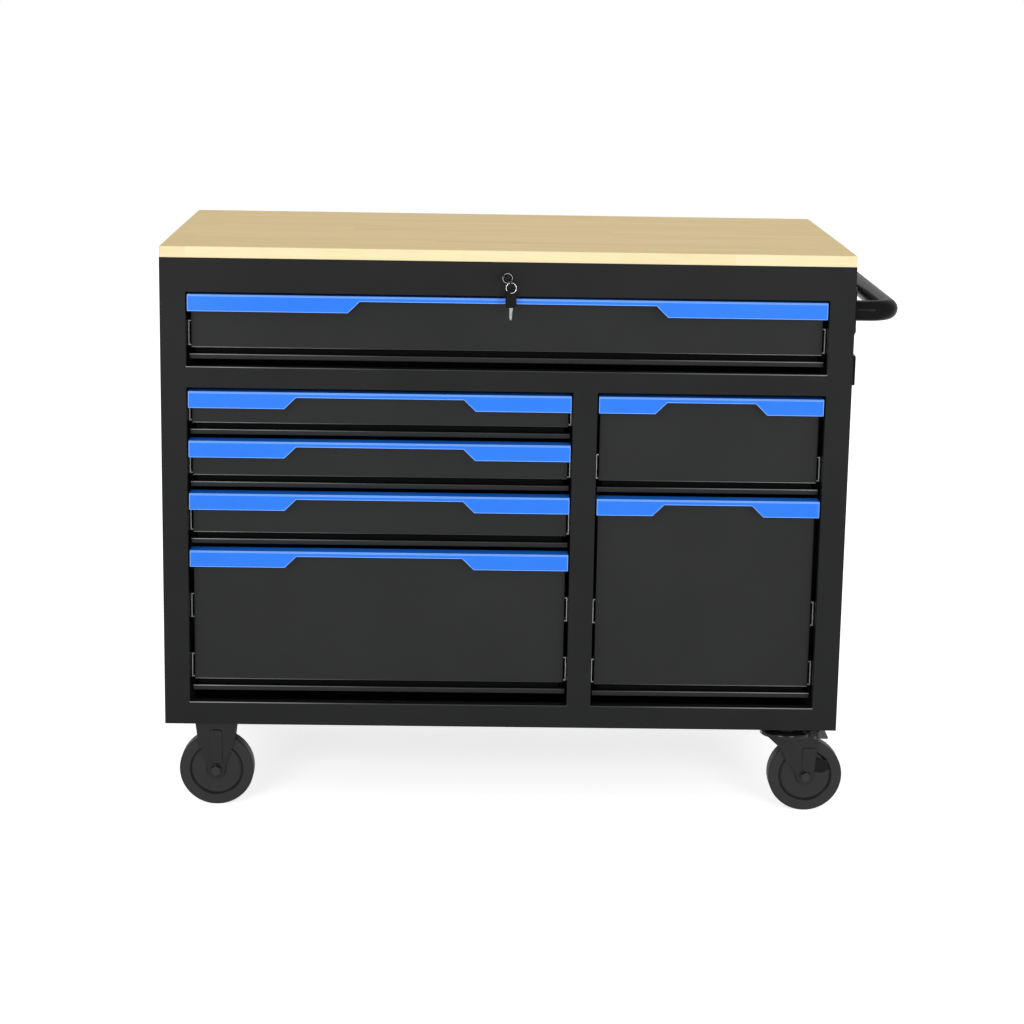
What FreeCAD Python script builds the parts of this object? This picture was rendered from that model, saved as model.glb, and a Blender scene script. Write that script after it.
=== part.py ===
import FreeCAD, Part
import math
import os

import Sketcher

# Rolling tool chest workbench: a sheet steel cabinet on four casters, with seven drawers,
# a wooden worktop, a tubular side handle, a power strip and a lock with its key and ring.
# X runs along the front, Y runs from the front to the back, Z runs up, lengths in millimetres.

# Driving dimensions

SIZES = {
    # cabinet
    "cabinet_width": 1168.0,
    "cabinet_depth": 622.0,
    "caster_height": 158.0,
    "body_height": 811.0,
    "wood_thick": 19.0,
    "wood_edge": 2.0,
    "sheet": 1.2,
    "bend_radius": 1.6,
    "stile_width": 43.0,
    "stile_return": 20.0,
    "rear_flange": 15.0,
    "fascia_height": 57.5,
    "top_opening": 126.5,
    "middle_rail_height": 35.5,
    "bottom_rail_height": 39.5,
    "rail_flange": 22.0,
    "rail_lip": 9.0,
    "divider_width": 41.0,
    "divider_place": 133.2,
    "divider_depth": 600.0,
    "post_width": 50.0,
    "post_front": 90.0,
    "post_rear": 480.0,
    # drawers
    "reveal_top": 4.0,
    "reveal": 6.5,
    "side_gap": 3.0,
    "panel_gap": 3.0,
    "panel_set": 28.5,
    "groove_set": 8.0,
    "groove_height": 10.0,
    "lip_height": 9.5,
    "lip_proud": 3.5,
    "drawer_length": 548.0,
    "wall_drop": 9.0,
    "height_wide": 113.5,
    "height_left_a": 78.5,
    "height_left_b": 84.5,
    "height_left_c": 93.5,
    "height_right_a": 170.5,
    "foot_gap_left": 14.0,
    "foot_gap_right": 11.5,
    # blue pulls
    "pull_height": 28.5,
    "pull_strip": 9.0,
    "pull_depth": 30.0,
    "pull_thick": 2.0,
    "pull_slope": 20.0,
    "land_wide": 268.8,
    "land_left": 161.9,
    "land_right": 95.4,
    # slides
    "slide_depth": 12.7,
    "slide_height": 45.0,
    "slide_length": 550.0,
    "slide_front": 30.0,
    "slide_wall": 1.2,
    "slide_play": 0.3,
    "slide_nest": 0.6,
    "slide_flange": 8.9,
    "slide_inner_flange": 7.6,
    "slide_rise": 22.0,
    "slide_pitch": 107.0,
    # lock and key
    "lock_place": -2.0,
    "lock_drop": 27.0,
    "bezel_size": 18.0,
    "bezel_proud": 2.0,
    "barrel_size": 15.0,
    "barrel_length": 42.0,
    "lock_nut": 2.4,
    "lock_nut_rim": 2.0,
    "plug_size": 10.0,
    "plug_proud": 3.0,
    "running_play": 0.05,
    "cam_width": 11.0,
    "cam_reach": 42.0,
    "cam_thick": 2.0,
    "key_thick": 2.2,
    "key_head": 28.0,
    "key_head_length": 24.0,
    "key_neck": 6.0,
    "key_blade": 6.0,
    "key_shoulder": 16.0,
    "key_corner": 6.0,
    "key_hole": 7.0,
    "key_hole_drop": 8.5,
    "key_hole_out": 13.0,
    "ring_size": 17.0,
    "ring_wire": 1.2,
    "key_turned": 45.0,
    # side handle
    "handle_tube": 35.0,
    "handle_wall": 2.0,
    "handle_drop": 78.0,
    "handle_reach": 66.0,
    "handle_inset": 38.0,
    "handle_bend": 38.0,
    "plate_thick": 4.0,
    "plate_width": 54.0,
    "plate_height": 90.0,
    "handle_bolt": 8.0,
    "handle_bolt_pitch": 66.0,
    # power strip
    "strip_height": 52.0,
    "strip_proud": 30.0,
    "strip_length": 302.0,
    "strip_front": 160.0,
    "strip_drop": 201.0,
    "outlet_place": 76.0,
    "outlet_pitch": 37.0,
    "outlet_width": 27.0,
    "outlet_height": 34.0,
    "outlet_sink": 2.0,
    "rocker_width": 21.0,
    "rocker_height": 15.0,
    "rocker_sink": 9.0,
    "rocker_place": 32.0,
    "rocker_pivot": 6.0,
    "rocker_proud": 1.5,
    "rocker_clear": 1.5,
    "gland_size": 16.0,
    "gland_length": 12.0,
    # casters
    "wheel_size": 130.0,
    "wheel_width": 32.0,
    "hub_width": 37.0,
    "groove_size": 86.0,
    "groove_width": 2.4,
    "groove_depth": 3.0,
    "boss_size": 32.0,
    "hub_sink": 1.5,
    "tread_shoulder": 4.0,
    "tread_crown": 1.0,
    "tread_edge": 11.0,
    "axle_size": 12.0,
    "fork_gap": 38.0,
    "fork_wall": 2.5,
    "caster_inset": 49.0,
    "rigid_inset": 85.0,
    "swivel_inset": 81.0,
    "trail": 35.0,
    "caster_plate": 3.0,
    "caster_plate_length": 100.0,
    "caster_plate_width": 67.0,
    "leg_top": 73.0,
    "leg_foot": 27.0,
    "leg_toe": 13.0,
    "leg_chamfer": 4.5,
    "waist_rise": 10.0,
    "flare_rise": 29.0,
    "shoulder_rise": 50.0,
    "rigid_waist": 16.0,
    "rigid_flare": 23.5,
    "rigid_shoulder": 31.5,
    "back_waist": 20.0,
    "back_flare": 36.0,
    "back_shoulder": 45.0,
    "back_top": 80.0,
    "front_flare": 17.5,
    "front_top": 20.0,
    "rib_width": 22.0,
    "rib_thick": 2.5,
    "rib_rise": 12.0,
    "rib_drop": 16.0,
    "brace_rise": 10.0,
    "brace_reach": 52.0,
    "brace_back": 7.0,
    "brace_foot": 14.0,
    "brace_top": 18.0,
    "race_size": 64.0,
    "race_drop": 8.0,
    "kingpin_size": 12.0,
    "kingpin_reach": 10.0,
    "kingpin_head_size": 20.0,
    "crown_size": 92.0,
    "crown_thick": 3.0,
    "crown_back": 45.0,
    "crown_out": 6.0,
    "pedal_pin": 6.0,
    "pin_proud": 1.0,
    "pedal_width": 34.0,
    "pedal_out": 14.0,
    "pedal_rise": 71.5,
    "pedal_eye": 4.0,
    "pedal_knee": 15.0,
    "pedal_reach": 24.0,
    "pedal_drop": 4.0,
    "pedal_thick": 3.5,
    "pedal_tab_in": 10.0,
    "pedal_tab_out": 14.0,
    "pedal_tab_rise": 13.5,
    "bolt_size": 8.0,
    "bolt_pitch_x": 88.0,
    "bolt_pitch_y": 44.0,
    "bolt_tail": 8.0,
    "bolt_nut": 6.0,
    "bolt_head_thick": 3.5,
    "wood_screw": 5.0,
    "screw_head": 10.0,
    "screw_head_thick": 2.0,
    "screw_reach": 11.5,
    "screw_hole_depth": 13.0,
    "screw_inset": 58.0,
    "screw_middle": 204.0,
    "screw_edge": 75.0,
    "kingpin_head": 6.4,
    "bolt_head": 12.0,
    "axle_head": 18.0,
    "axle_head_thick": 5.0,
    "axle_nut": 8.0,
}

OUTLETS = 6

doc = FreeCAD.newDocument("ToolChest")
sheet = doc.addObject("Spreadsheet::Sheet", "Sizes")
for row, (alias, value) in enumerate(SIZES.items(), start=1):
    sheet.set("A%d" % row, alias)
    sheet.set("B%d" % row, str(value))
    sheet.setAlias("B%d" % row, alias)
doc.recompute()


class Size:
    """A length that carries its value and the sheet expression that gives it."""

    def __init__(self, value, formula):
        self.value = float(value)
        self.formula = formula

    def _join(self, other, sign, result):
        other_formula = other.formula if isinstance(other, Size) else repr(float(other))
        return Size(result, "(%s %s %s)" % (self.formula, sign, other_formula))

    def __add__(self, other):
        return self._join(other, "+", self.value + number(other))

    def __radd__(self, other):
        return self + other

    def __sub__(self, other):
        return self._join(other, "-", self.value - number(other))

    def __rsub__(self, other):
        return Size(other, repr(float(other))) - self

    def __mul__(self, other):
        return self._join(other, "*", self.value * number(other))

    def __rmul__(self, other):
        return self * other

    def __truediv__(self, other):
        return self._join(other, "/", self.value / number(other))

    def __neg__(self):
        return Size(-self.value, "(0 - %s)" % self.formula)


def number(size):
    """Give the plain value of a size or a number."""
    return size.value if isinstance(size, Size) else float(size)


def text(size):
    """Give the expression of a size or a number."""
    return size.formula if isinstance(size, Size) else repr(float(size))


def named(alias):
    """Give the named size from the sheet."""
    return Size(sheet.get(alias), "Sizes." + alias)


# Shorthand for the sizes, read from the sheet

width = named("cabinet_width")
depth = named("cabinet_depth")
floor_z = named("caster_height")
top_z = floor_z + named("body_height")
wood = named("wood_thick")
sheet_t = named("sheet")
stile = named("stile_width")
half = width / 2
opening = half - stile
zero = Size(0.0, "0")

key_out = named("plug_proud") + named("key_neck") + named("key_head_length")
shift_x = -((named("handle_reach") + named("handle_tube") / 2) / 2)
shift_y = -((depth - key_out) / 2)

subparts = []


def keep(obj):
    """List a finished sub-part for checking and export."""
    subparts.append(obj)
    return obj


def place(obj, x=zero, y=zero, z=zero):
    """Bind a sub-part's place to its own point and the shift that centres the object."""
    obj.setExpression("Placement.Base.x", text(shift_x + x))
    obj.setExpression("Placement.Base.y", text(shift_y + y))
    obj.setExpression("Placement.Base.z", text(z))
    return obj


def new_sheet(label):
    """Start a body that is one bent sheet of a sub-part, with its place bound to the shift."""
    body = doc.addObject("PartDesign::Body", label)
    body.Label = label
    return place(body)


def new_body(label):
    """Start a body that is a sub-part of its own."""
    return keep(new_sheet(label))


def weld(label, sheets):
    """Keep several touching bodies as one sub-part."""
    joined = doc.addObject("Part::Compound", label)
    joined.Label = label
    joined.Links = sheets
    return keep(joined)


def plane_of(body, role):
    """Find an origin plane of the body by its role."""
    for feature in body.Origin.OriginFeatures:
        if feature.Role == role:
            return feature
    raise ValueError(role)


AXES = {"x": "YZ_Plane", "y": "XZ_Plane", "z": "XY_Plane"}


def bind_point(sketch, geo, pos, point):
    """Hold a sketch point at its two sizes."""
    for kind, axis_geo, size in (("DistanceX", -2, point[0]), ("DistanceY", -1, point[1])):
        if abs(number(size)) < 1e-9:
            sketch.addConstraint(Sketcher.Constraint("PointOnObject", geo, pos, axis_geo))
            continue
        at = sketch.addConstraint(Sketcher.Constraint(kind, -1, 1, geo, pos, number(size)))
        if isinstance(size, Size):
            sketch.setExpression("Constraints[%d]" % at, size.formula)


def draw_loop(sketch, points):
    """Draw a closed outline of straight lines through the points."""
    count = len(points)
    first = sketch.GeometryCount
    for i in range(count):
        a = points[i]
        b = points[(i + 1) % count]
        start = FreeCAD.Vector(number(a[0]), number(a[1]), 0)
        end = FreeCAD.Vector(number(b[0]), number(b[1]), 0)
        sketch.addGeometry(Part.LineSegment(start, end), False)
    for i in range(count):
        after = first + (i + 1) % count
        sketch.addConstraint(Sketcher.Constraint("Coincident", first + i, 2, after, 1))
    for i in range(count):
        bind_point(sketch, first + i, 1, points[i])


def draw_circle(sketch, centre, radius):
    """Draw a circle held at its centre and radius."""
    middle = FreeCAD.Vector(number(centre[0]), number(centre[1]), 0)
    circle = Part.Circle(middle, FreeCAD.Vector(0, 0, 1), number(radius))
    geo = sketch.addGeometry(circle, False)
    at = sketch.addConstraint(Sketcher.Constraint("Radius", geo, number(radius)))
    if isinstance(radius, Size):
        sketch.setExpression("Constraints[%d]" % at, radius.formula)
    bind_point(sketch, geo, 3, centre)


def new_sketch(body, axis, start, loops=(), circles=()):
    """Make a sketch square to an axis, at a stated place along it."""
    sketch = body.newObject("Sketcher::SketchObject", "Sketch")
    sketch.AttachmentSupport = [(plane_of(body, AXES[axis]), "")]
    sketch.MapMode = "FlatFace"
    offset = -start if axis == "y" else start
    if abs(number(start)) > 1e-9:
        sketch.setExpression("AttachmentOffset.Base.z", text(offset))
    for points in loops:
        draw_loop(sketch, points)
    for centre, radius in circles:
        draw_circle(sketch, centre, radius)
    return sketch


def extrude(body, axis, start, end, loops=(), circles=()):
    """Add the outline between two places along an axis."""
    sketch = new_sketch(body, axis, start, loops, circles)
    pad = body.newObject("PartDesign::Pad", "Pad")
    pad.Profile = sketch
    pad.Reversed = axis == "y"
    pad.setExpression("Length", text(end - start))
    return pad


def cut(body, axis, start, end, loops=(), circles=()):
    """Remove the outline between two places along an axis, and check that it cut."""
    doc.recompute()
    before = body.Shape.Volume
    sketch = new_sketch(body, axis, start, loops, circles)
    pocket = body.newObject("PartDesign::Pocket", "Pocket")
    pocket.Profile = sketch
    pocket.Reversed = axis != "y"
    pocket.setExpression("Length", text(end - start))
    doc.recompute()
    if body.Shape.Volume > before - 1e-3:
        raise RuntimeError("nothing was cut from " + body.Label)
    return pocket


def revolve(body, axis, loops):
    """Turn the outline about the vertical line of its sketch."""
    sketch = new_sketch(body, axis, zero, loops)
    turn = body.newObject("PartDesign::Revolution", "Revolution")
    turn.Profile = sketch
    turn.ReferenceAxis = (sketch, ["V_Axis"])
    turn.Angle = 360.0
    return turn


def round_edges(body, radius, chosen):
    """Round the edges that the test picks."""
    doc.recompute()
    tip = body.Tip
    names = []
    for i, edge in enumerate(tip.Shape.Edges, start=1):
        if chosen(edge):
            names.append("Edge%d" % i)
    if not names:
        raise RuntimeError("no edge to round on " + body.Label)
    fillet = body.newObject("PartDesign::Fillet", "Fillet")
    fillet.Base = (tip, names)
    fillet.setExpression("Radius", text(radius))
    return fillet


def rectangle(x0, x1, y0, y1):
    """Give the four corners of a rectangle."""
    return [(x0, y0), (x1, y0), (x1, y1), (x0, y1)]


def runs_along(edge, axis):
    """Tell whether an edge is straight and runs along the axis."""
    if edge.Curve.TypeId != "Part::GeomLine":
        return False
    return abs(abs(getattr(edge.Curve.Direction, axis)) - 1.0) < 1e-6


def near(value, size):
    """Tell whether a coordinate lies at a size."""
    return abs(value - number(size)) < 1e-4


def group(label, solids):
    """Keep several separate solids as one sub-part, placed by the shift."""
    feature = doc.addObject("Part::Feature", label)
    feature.Label = label
    feature.Shape = Part.makeCompound(solids)
    return keep(place(feature))


def bar(points, axis, start, length):
    """Make one straight solid with the outline of the points."""
    lift = {
        "x": lambda p: FreeCAD.Vector(number(start), number(p[0]), number(p[1])),
        "y": lambda p: FreeCAD.Vector(number(p[0]), number(start), number(p[1])),
        "z": lambda p: FreeCAD.Vector(number(p[0]), number(p[1]), number(start)),
    }[axis]
    corners = [lift(p) for p in points]
    corners.append(corners[0])
    way = {"x": (1, 0, 0), "y": (0, 1, 0), "z": (0, 0, 1)}[axis]
    face = Part.Face(Part.makePolygon(corners))
    return face.extrude(FreeCAD.Vector(*way) * number(length))


def rod(radius, length, base, way):
    """Make one round solid."""
    start = FreeCAD.Vector(*[number(c) for c in base])
    return Part.makeCylinder(number(radius), number(length), start, FreeCAD.Vector(*way))


# Cabinet shell

for label, side in (("left_side_panel", -1), ("right_side_panel", 1)):
    body = new_body(label)
    flange_y = depth - sheet_t
    profile = [
        (half * side, zero),
        (half * side, flange_y),
        ((half - named("rear_flange")) * side, flange_y),
        ((half - named("rear_flange")) * side, flange_y - sheet_t),
        ((half - sheet_t) * side, flange_y - sheet_t),
        ((half - sheet_t) * side, sheet_t),
        ((opening + sheet_t) * side, sheet_t),
        ((opening + sheet_t) * side, named("stile_return")),
        (opening * side, named("stile_return")),
        (opening * side, zero),
    ]
    extrude(body, "z", floor_z, top_z, [profile])
    round_edges(body, named("bend_radius"), lambda e: runs_along(e, "z")
                and near(e.Vertexes[0].Y, zero)
                and abs(e.Vertexes[0].X) > number(opening - sheet_t))

body = new_body("back_panel")
extrude(body, "y", depth - sheet_t, depth, [rectangle(-half, half, floor_z, top_z)])

inner = half - sheet_t
back_in = depth - sheet_t * 2
notch_y = named("stile_return") + named("slide_play")
caster_y = [named("caster_inset"), depth - named("caster_inset")]
rigid_x = -(half - named("rigid_inset"))
swivel_x = half - named("swivel_inset")


def bolt_circle(x, y):
    """Give the four bolt places round the middle of a caster plate."""
    return [(x + named("bolt_pitch_x") / 2 * side_x, y + named("bolt_pitch_y") / 2 * side_y)
            for side_x in (-1, 1) for side_y in (-1, 1)]


plate_bolts = [hole for x in (rigid_x, swivel_x) for y in caster_y for hole in bolt_circle(x, y)]
bolt_hole = named("bolt_size") / 2 + named("running_play")

body = new_body("bottom_panel")
outline = [
    (-opening, sheet_t), (opening, sheet_t), (opening, notch_y), (inner, notch_y),
    (inner, back_in), (-inner, back_in), (-inner, notch_y), (-opening, notch_y),
]
extrude(body, "z", floor_z, floor_z + sheet_t, [outline])
cut(body, "z", floor_z, floor_z + sheet_t, circles=[(p, bolt_hole) for p in plate_bolts])

screw_hole = named("wood_screw") / 2 + named("running_play")
screw_far = half - named("screw_inset")
screw_near = named("screw_middle")
screw_places = [(x, y) for x in (-screw_far, -screw_near, screw_near, screw_far)
                for y in (named("screw_edge"), depth - named("screw_edge"))]
body = new_body("top_panel")
extrude(body, "z", top_z - sheet_t, top_z,
        [rectangle(-inner, inner, named("rail_flange") + sheet_t, back_in)])
cut(body, "z", top_z - sheet_t, top_z, circles=[(p, screw_hole) for p in screw_places])

body = new_body("wood_worktop")
extrude(body, "z", top_z, top_z + wood, [rectangle(-half, half, zero, depth)])
round_edges(body, named("wood_edge"), lambda e: e.BoundBox.ZMax > number(top_z + named("wood_edge")))
cut(body, "z", top_z, top_z + named("screw_hole_depth"), circles=[(p, screw_hole) for p in screw_places])

fascia_z = top_z - named("fascia_height")
rail_top = fascia_z - named("top_opening")
rail_low = rail_top - named("middle_rail_height")
base_top = floor_z + named("bottom_rail_height")
flange = named("rail_flange")
lip = named("rail_lip")
lock_x = named("lock_place")
lock_z = top_z - named("lock_drop")

body = new_body("top_fascia")
profile = [
    (zero, fascia_z), (flange, fascia_z), (flange, fascia_z + lip),
    (flange - sheet_t, fascia_z + lip), (flange - sheet_t, fascia_z + sheet_t),
    (sheet_t, fascia_z + sheet_t), (sheet_t, top_z - sheet_t),
    (flange, top_z - sheet_t), (flange, top_z), (zero, top_z),
]
extrude(body, "x", -opening, opening, [profile])
cut(body, "y", zero, sheet_t,
    circles=[((lock_x, lock_z), named("barrel_size") / 2 + named("running_play"))])
round_edges(body, named("bend_radius"), lambda e: runs_along(e, "x")
            and near(e.Vertexes[0].Y, zero) and near(e.Vertexes[0].Z, fascia_z))

body = new_body("middle_rail")
profile = [
    (zero, rail_low), (flange, rail_low), (flange, rail_low + lip),
    (flange - sheet_t, rail_low + lip), (flange - sheet_t, rail_low + sheet_t),
    (sheet_t, rail_low + sheet_t), (sheet_t, rail_top - sheet_t),
    (flange - sheet_t, rail_top - sheet_t), (flange - sheet_t, rail_top - lip),
    (flange, rail_top - lip), (flange, rail_top), (zero, rail_top),
]
extrude(body, "x", -opening, opening, [profile])
round_edges(body, named("bend_radius"), lambda e: runs_along(e, "x")
            and near(e.Vertexes[0].Y, zero))

body = new_body("bottom_rail")
profile = [
    (zero, floor_z), (sheet_t, floor_z), (sheet_t, base_top - sheet_t),
    (flange - sheet_t, base_top - sheet_t), (flange - sheet_t, base_top - lip),
    (flange, base_top - lip), (flange, base_top), (zero, base_top),
]
extrude(body, "x", -opening, opening, [profile])
round_edges(body, named("bend_radius"), lambda e: runs_along(e, "x")
            and near(e.Vertexes[0].Y, zero) and near(e.Vertexes[0].Z, base_top))

divider_left = named("divider_place") - named("divider_width") / 2
divider_right = named("divider_place") + named("divider_width") / 2
body = new_body("center_divider")
extrude(body, "z", base_top, rail_low, [
    rectangle(divider_left, divider_right, zero, named("divider_depth")),
    rectangle(divider_left + sheet_t, divider_right - sheet_t,
              sheet_t, named("divider_depth") - sheet_t),
])

post_base = floor_z + sheet_t
post_length = top_z - sheet_t - post_base
posts = []
for side in (-1, 1):
    for start in (named("post_front"), named("post_rear")):
        end = start + named("post_width")
        profile = [
            (opening * side, start), (opening * side, end), (inner * side, end),
            (inner * side, end - sheet_t), ((opening + sheet_t) * side, end - sheet_t),
            ((opening + sheet_t) * side, start + sheet_t),
            (inner * side, start + sheet_t), (inner * side, start),
        ]
        posts.append(bar(profile, "z", post_base, post_length))
group("slide_posts", posts)

# Drawers

slide_t = named("slide_wall")
slide_y = named("slide_front")


def channel(edge, side, level, outer, inner_reach, height):
    """Make one slide member, its web at outer and its flanges to inner_reach from the edge."""
    low = level + (named("slide_height") - height) / 2
    high = low + height
    web = edge + outer * side
    back = edge + inner_reach * side
    web_in = web + slide_t * (1 if number(inner_reach) > number(outer) else -1) * side
    profile = [
        (web, low), (back, low), (back, low + slide_t), (web_in, low + slide_t),
        (web_in, high - slide_t), (back, high - slide_t), (back, high), (web, high),
    ]
    return bar(profile, "y", slide_y, named("slide_length"))


play = named("slide_play")
height_outer = named("slide_height")
height_mid = height_outer - slide_t * 2 - play * 2
height_inner = height_mid - slide_t * 2 - play * 2
mid_web = slide_t + named("slide_nest")
outer_slides = []


def make_drawer(name, left, right, top, height, land, rows):
    """Build one drawer: its box and front, its pull, and its slide members."""
    gap = named("side_gap")
    low = top - height
    set_y = named("panel_set")
    groove_y = set_y + named("groove_set")
    lip_y = set_y - named("lip_proud")
    lip_top = low + named("lip_height")
    groove_top = lip_top + named("groove_height")
    under = top - named("pull_thick")
    box_left = left + named("slide_depth")
    box_right = right - named("slide_depth")
    box_back = groove_y + named("drawer_length")
    wall_top = top - named("wall_drop")
    panel_left = left + gap + named("panel_gap")
    panel_right = right - gap - named("panel_gap")

    # The box is a bent pan with a back welded into it and a bent front welded to its end.
    pan = new_sheet("drawer_pan_" + name)
    extrude(pan, "y", groove_y + sheet_t, box_back, [[
        (box_left, lip_top - sheet_t), (box_right, lip_top - sheet_t), (box_right, wall_top),
        (box_right - sheet_t, wall_top), (box_right - sheet_t, lip_top),
        (box_left + sheet_t, lip_top), (box_left + sheet_t, wall_top), (box_left, wall_top)]])
    back = new_sheet("drawer_back_" + name)
    extrude(back, "y", box_back - sheet_t, box_back,
            [rectangle(box_left + sheet_t, box_right - sheet_t, lip_top, wall_top)])
    front = new_sheet("drawer_front_" + name)
    extrude(front, "y", groove_y, groove_y + sheet_t,
            [rectangle(box_left, box_right, lip_top - sheet_t, under - sheet_t)])
    panel = [
        (groove_y + sheet_t, under), (set_y, under), (set_y, groove_top),
        (groove_y + sheet_t, groove_top), (groove_y + sheet_t, groove_top + sheet_t),
        (set_y + sheet_t, groove_top + sheet_t), (set_y + sheet_t, under - sheet_t),
        (groove_y + sheet_t, under - sheet_t),
    ]
    extrude(front, "x", panel_left, panel_right, [panel])
    foot = [
        (groove_y + sheet_t, lip_top), (lip_y, lip_top), (lip_y, low), (groove_y, low),
        (groove_y, low + sheet_t), (lip_y + sheet_t, low + sheet_t),
        (lip_y + sheet_t, lip_top - sheet_t), (groove_y + sheet_t, lip_top - sheet_t),
    ]
    extrude(front, "x", left + gap, right - gap, [foot])
    weld("drawer_box_" + name, [front, pan, back])

    pull = new_body("drawer_pull_" + name)
    thick = named("pull_thick")
    section = [
        (zero, top - named("pull_height")), (thick, top - named("pull_height")),
        (thick, top - thick), (named("pull_depth"), top - thick),
        (named("pull_depth"), top), (zero, top),
    ]
    extrude(pull, "x", left + gap, right - gap, [section])
    start = left + gap + land
    end = right - gap - land
    slope = named("pull_slope")
    strip = top - named("pull_strip")
    edge_low = top - named("pull_height")
    cut(pull, "y", zero, thick, [[
        (start, edge_low), (end, edge_low), (end - slope, strip), (start + slope, strip)]])
    round_edges(pull, named("bend_radius"), lambda e: runs_along(e, "x")
                and near(e.Vertexes[0].Y, zero) and near(e.Vertexes[0].Z, top))

    middles = []
    inners = []
    for count in range(rows):
        level = low + named("slide_rise") + named("slide_pitch") * count
        for edge, side in ((left, 1), (right, -1)):
            outer_slides.append(channel(edge, side, level, zero,
                                        named("slide_flange"), height_outer))
            middles.append(channel(edge, side, level, mid_web,
                                   mid_web + named("slide_flange"), height_mid))
            inners.append(channel(edge, side, level, named("slide_depth"),
                                  named("slide_depth") - named("slide_inner_flange"),
                                  height_inner))
    group("drawer_slide_middle_" + name, middles)
    group("drawer_slide_inner_" + name, inners)
    return low


reveal = named("reveal")
make_drawer("top", -opening, opening, fascia_z - named("reveal_top"), named("height_wide"),
            named("land_wide"), 1)
columns = (
    ("left", -opening, divider_left, (("a", 1), ("b", 1), ("c", 1), ("d", 2))),
    ("right", divider_right, opening, (("a", 1), ("b", 2))),
)
for column, left, right, drawers in columns:
    level = rail_low
    lowest = base_top + named("foot_gap_" + column)
    for letter, rows in drawers:
        name = "%s_%s" % (column, letter)
        top = level - reveal
        # The lowest drawer takes the height that the others leave.
        height = named("height_" + name) if "height_" + name in SIZES else top - lowest
        level = make_drawer(name, left, right, top, height, named("land_" + column), rows)
group("outer_slide_members", outer_slides)

# Lock and key

barrel_r = named("barrel_size") / 2
plug_r = named("plug_size") / 2
bezel_r = named("bezel_size") / 2
bore_r = plug_r + named("running_play")
nut_r = bezel_r + named("lock_nut_rim")
cam_y = named("barrel_length") + named("slide_play")
cam_half = named("cam_width") / 2

body = new_body("lock_barrel")
extrude(body, "y", -named("bezel_proud"), zero, circles=[((lock_x, lock_z), bezel_r)])
extrude(body, "y", zero, named("barrel_length"), circles=[((lock_x, lock_z), barrel_r)])
extrude(body, "y", sheet_t, sheet_t + named("lock_nut"), circles=[((lock_x, lock_z), nut_r)])
cut(body, "y", -named("bezel_proud"), named("barrel_length"),
    circles=[((lock_x, lock_z), bore_r)])

body = new_body("lock_plug")
extrude(body, "y", -named("plug_proud"), cam_y + named("cam_thick"),
        circles=[((lock_x, lock_z), plug_r)])
extrude(body, "y", cam_y, cam_y + named("cam_thick"), [
    rectangle(lock_x - cam_half, lock_x + named("cam_reach"),
              lock_z - cam_half, lock_z + cam_half)])

key_half = named("key_thick") / 2
neck_y = -named("plug_proud")
head_y = neck_y - named("key_neck")
neck_half = named("key_blade") / 2
shoulder = named("key_shoulder") / 2
head_half = named("key_head") / 2
corner = named("key_corner")
hole_y = head_y - named("key_hole_out")
hole_drop = named("key_hole_drop")
# The key is drawn upright round the lock's axis, and then turned.
body = place(new_body("key_in_lock"), lock_x, zero, lock_z)
extrude(body, "x", -key_half, key_half, [[
    (neck_y, -neck_half), (neck_y, neck_half), (head_y, neck_half), (head_y, shoulder),
    (head_y - corner, head_half), (-key_out + corner, head_half), (-key_out, shoulder),
    (-key_out, -shoulder), (-key_out + corner, -head_half), (head_y - corner, -head_half),
    (head_y, -shoulder), (head_y, -neck_half),
]])
cut(body, "x", -key_half, key_half, circles=[((hole_y, -hole_drop), named("key_hole") / 2)])
body.Placement.Rotation = FreeCAD.Rotation(
    FreeCAD.Vector(0, 1, 0), -number(named("key_turned")))

# The ring hangs straight down from the key's hole.
turned = math.radians(number(named("key_turned")))
wire_r = named("ring_wire") / 2
ring_r = named("ring_size") / 2 - wire_r
ring = doc.addObject("Part::Torus", "key_ring")
ring.Label = "key_ring"
ring.setExpression("Radius1", text(ring_r))
ring.setExpression("Radius2", text(wire_r))
place(keep(ring), lock_x + hole_drop * math.sin(turned), hole_y,
      lock_z - hole_drop * math.cos(turned) - ring_r)
ring.Placement.Rotation = FreeCAD.Rotation(FreeCAD.Vector(1, 0, 0), 90)

# Side handle

tube_r = named("handle_tube") / 2
bore = tube_r - named("handle_wall")
handle_z = top_z - named("handle_drop")
plate_x = half + named("plate_thick")
out_x = half + named("handle_reach")
front_y = named("handle_inset")
rear_y = depth - named("handle_inset")
bend = named("handle_bend")

body = new_body("handle_tube")
path = body.newObject("Sketcher::SketchObject", "Path")
path.AttachmentSupport = [(plane_of(body, "XY_Plane"), "")]
path.MapMode = "FlatFace"
path.setExpression("AttachmentOffset.Base.z", text(handle_z))
corner_x = number(out_x - bend)
path_points = [
    FreeCAD.Vector(number(plate_x), number(front_y), 0),
    FreeCAD.Vector(corner_x, number(front_y), 0),
    FreeCAD.Vector(number(out_x), number(front_y + bend), 0),
    FreeCAD.Vector(number(out_x), number(rear_y - bend), 0),
    FreeCAD.Vector(corner_x, number(rear_y), 0),
    FreeCAD.Vector(number(plate_x), number(rear_y), 0),
]
centre_front = FreeCAD.Vector(corner_x, number(front_y + bend), 0)
centre_rear = FreeCAD.Vector(corner_x, number(rear_y - bend), 0)
way_up = FreeCAD.Vector(0, 0, 1)
quarter = math.pi / 2
path.addGeometry(Part.LineSegment(path_points[0], path_points[1]), False)
path.addGeometry(Part.ArcOfCircle(
    Part.Circle(centre_front, way_up, number(bend)), -quarter, 0.0), False)
path.addGeometry(Part.LineSegment(path_points[2], path_points[3]), False)
path.addGeometry(Part.ArcOfCircle(
    Part.Circle(centre_rear, way_up, number(bend)), 0.0, quarter), False)
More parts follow.
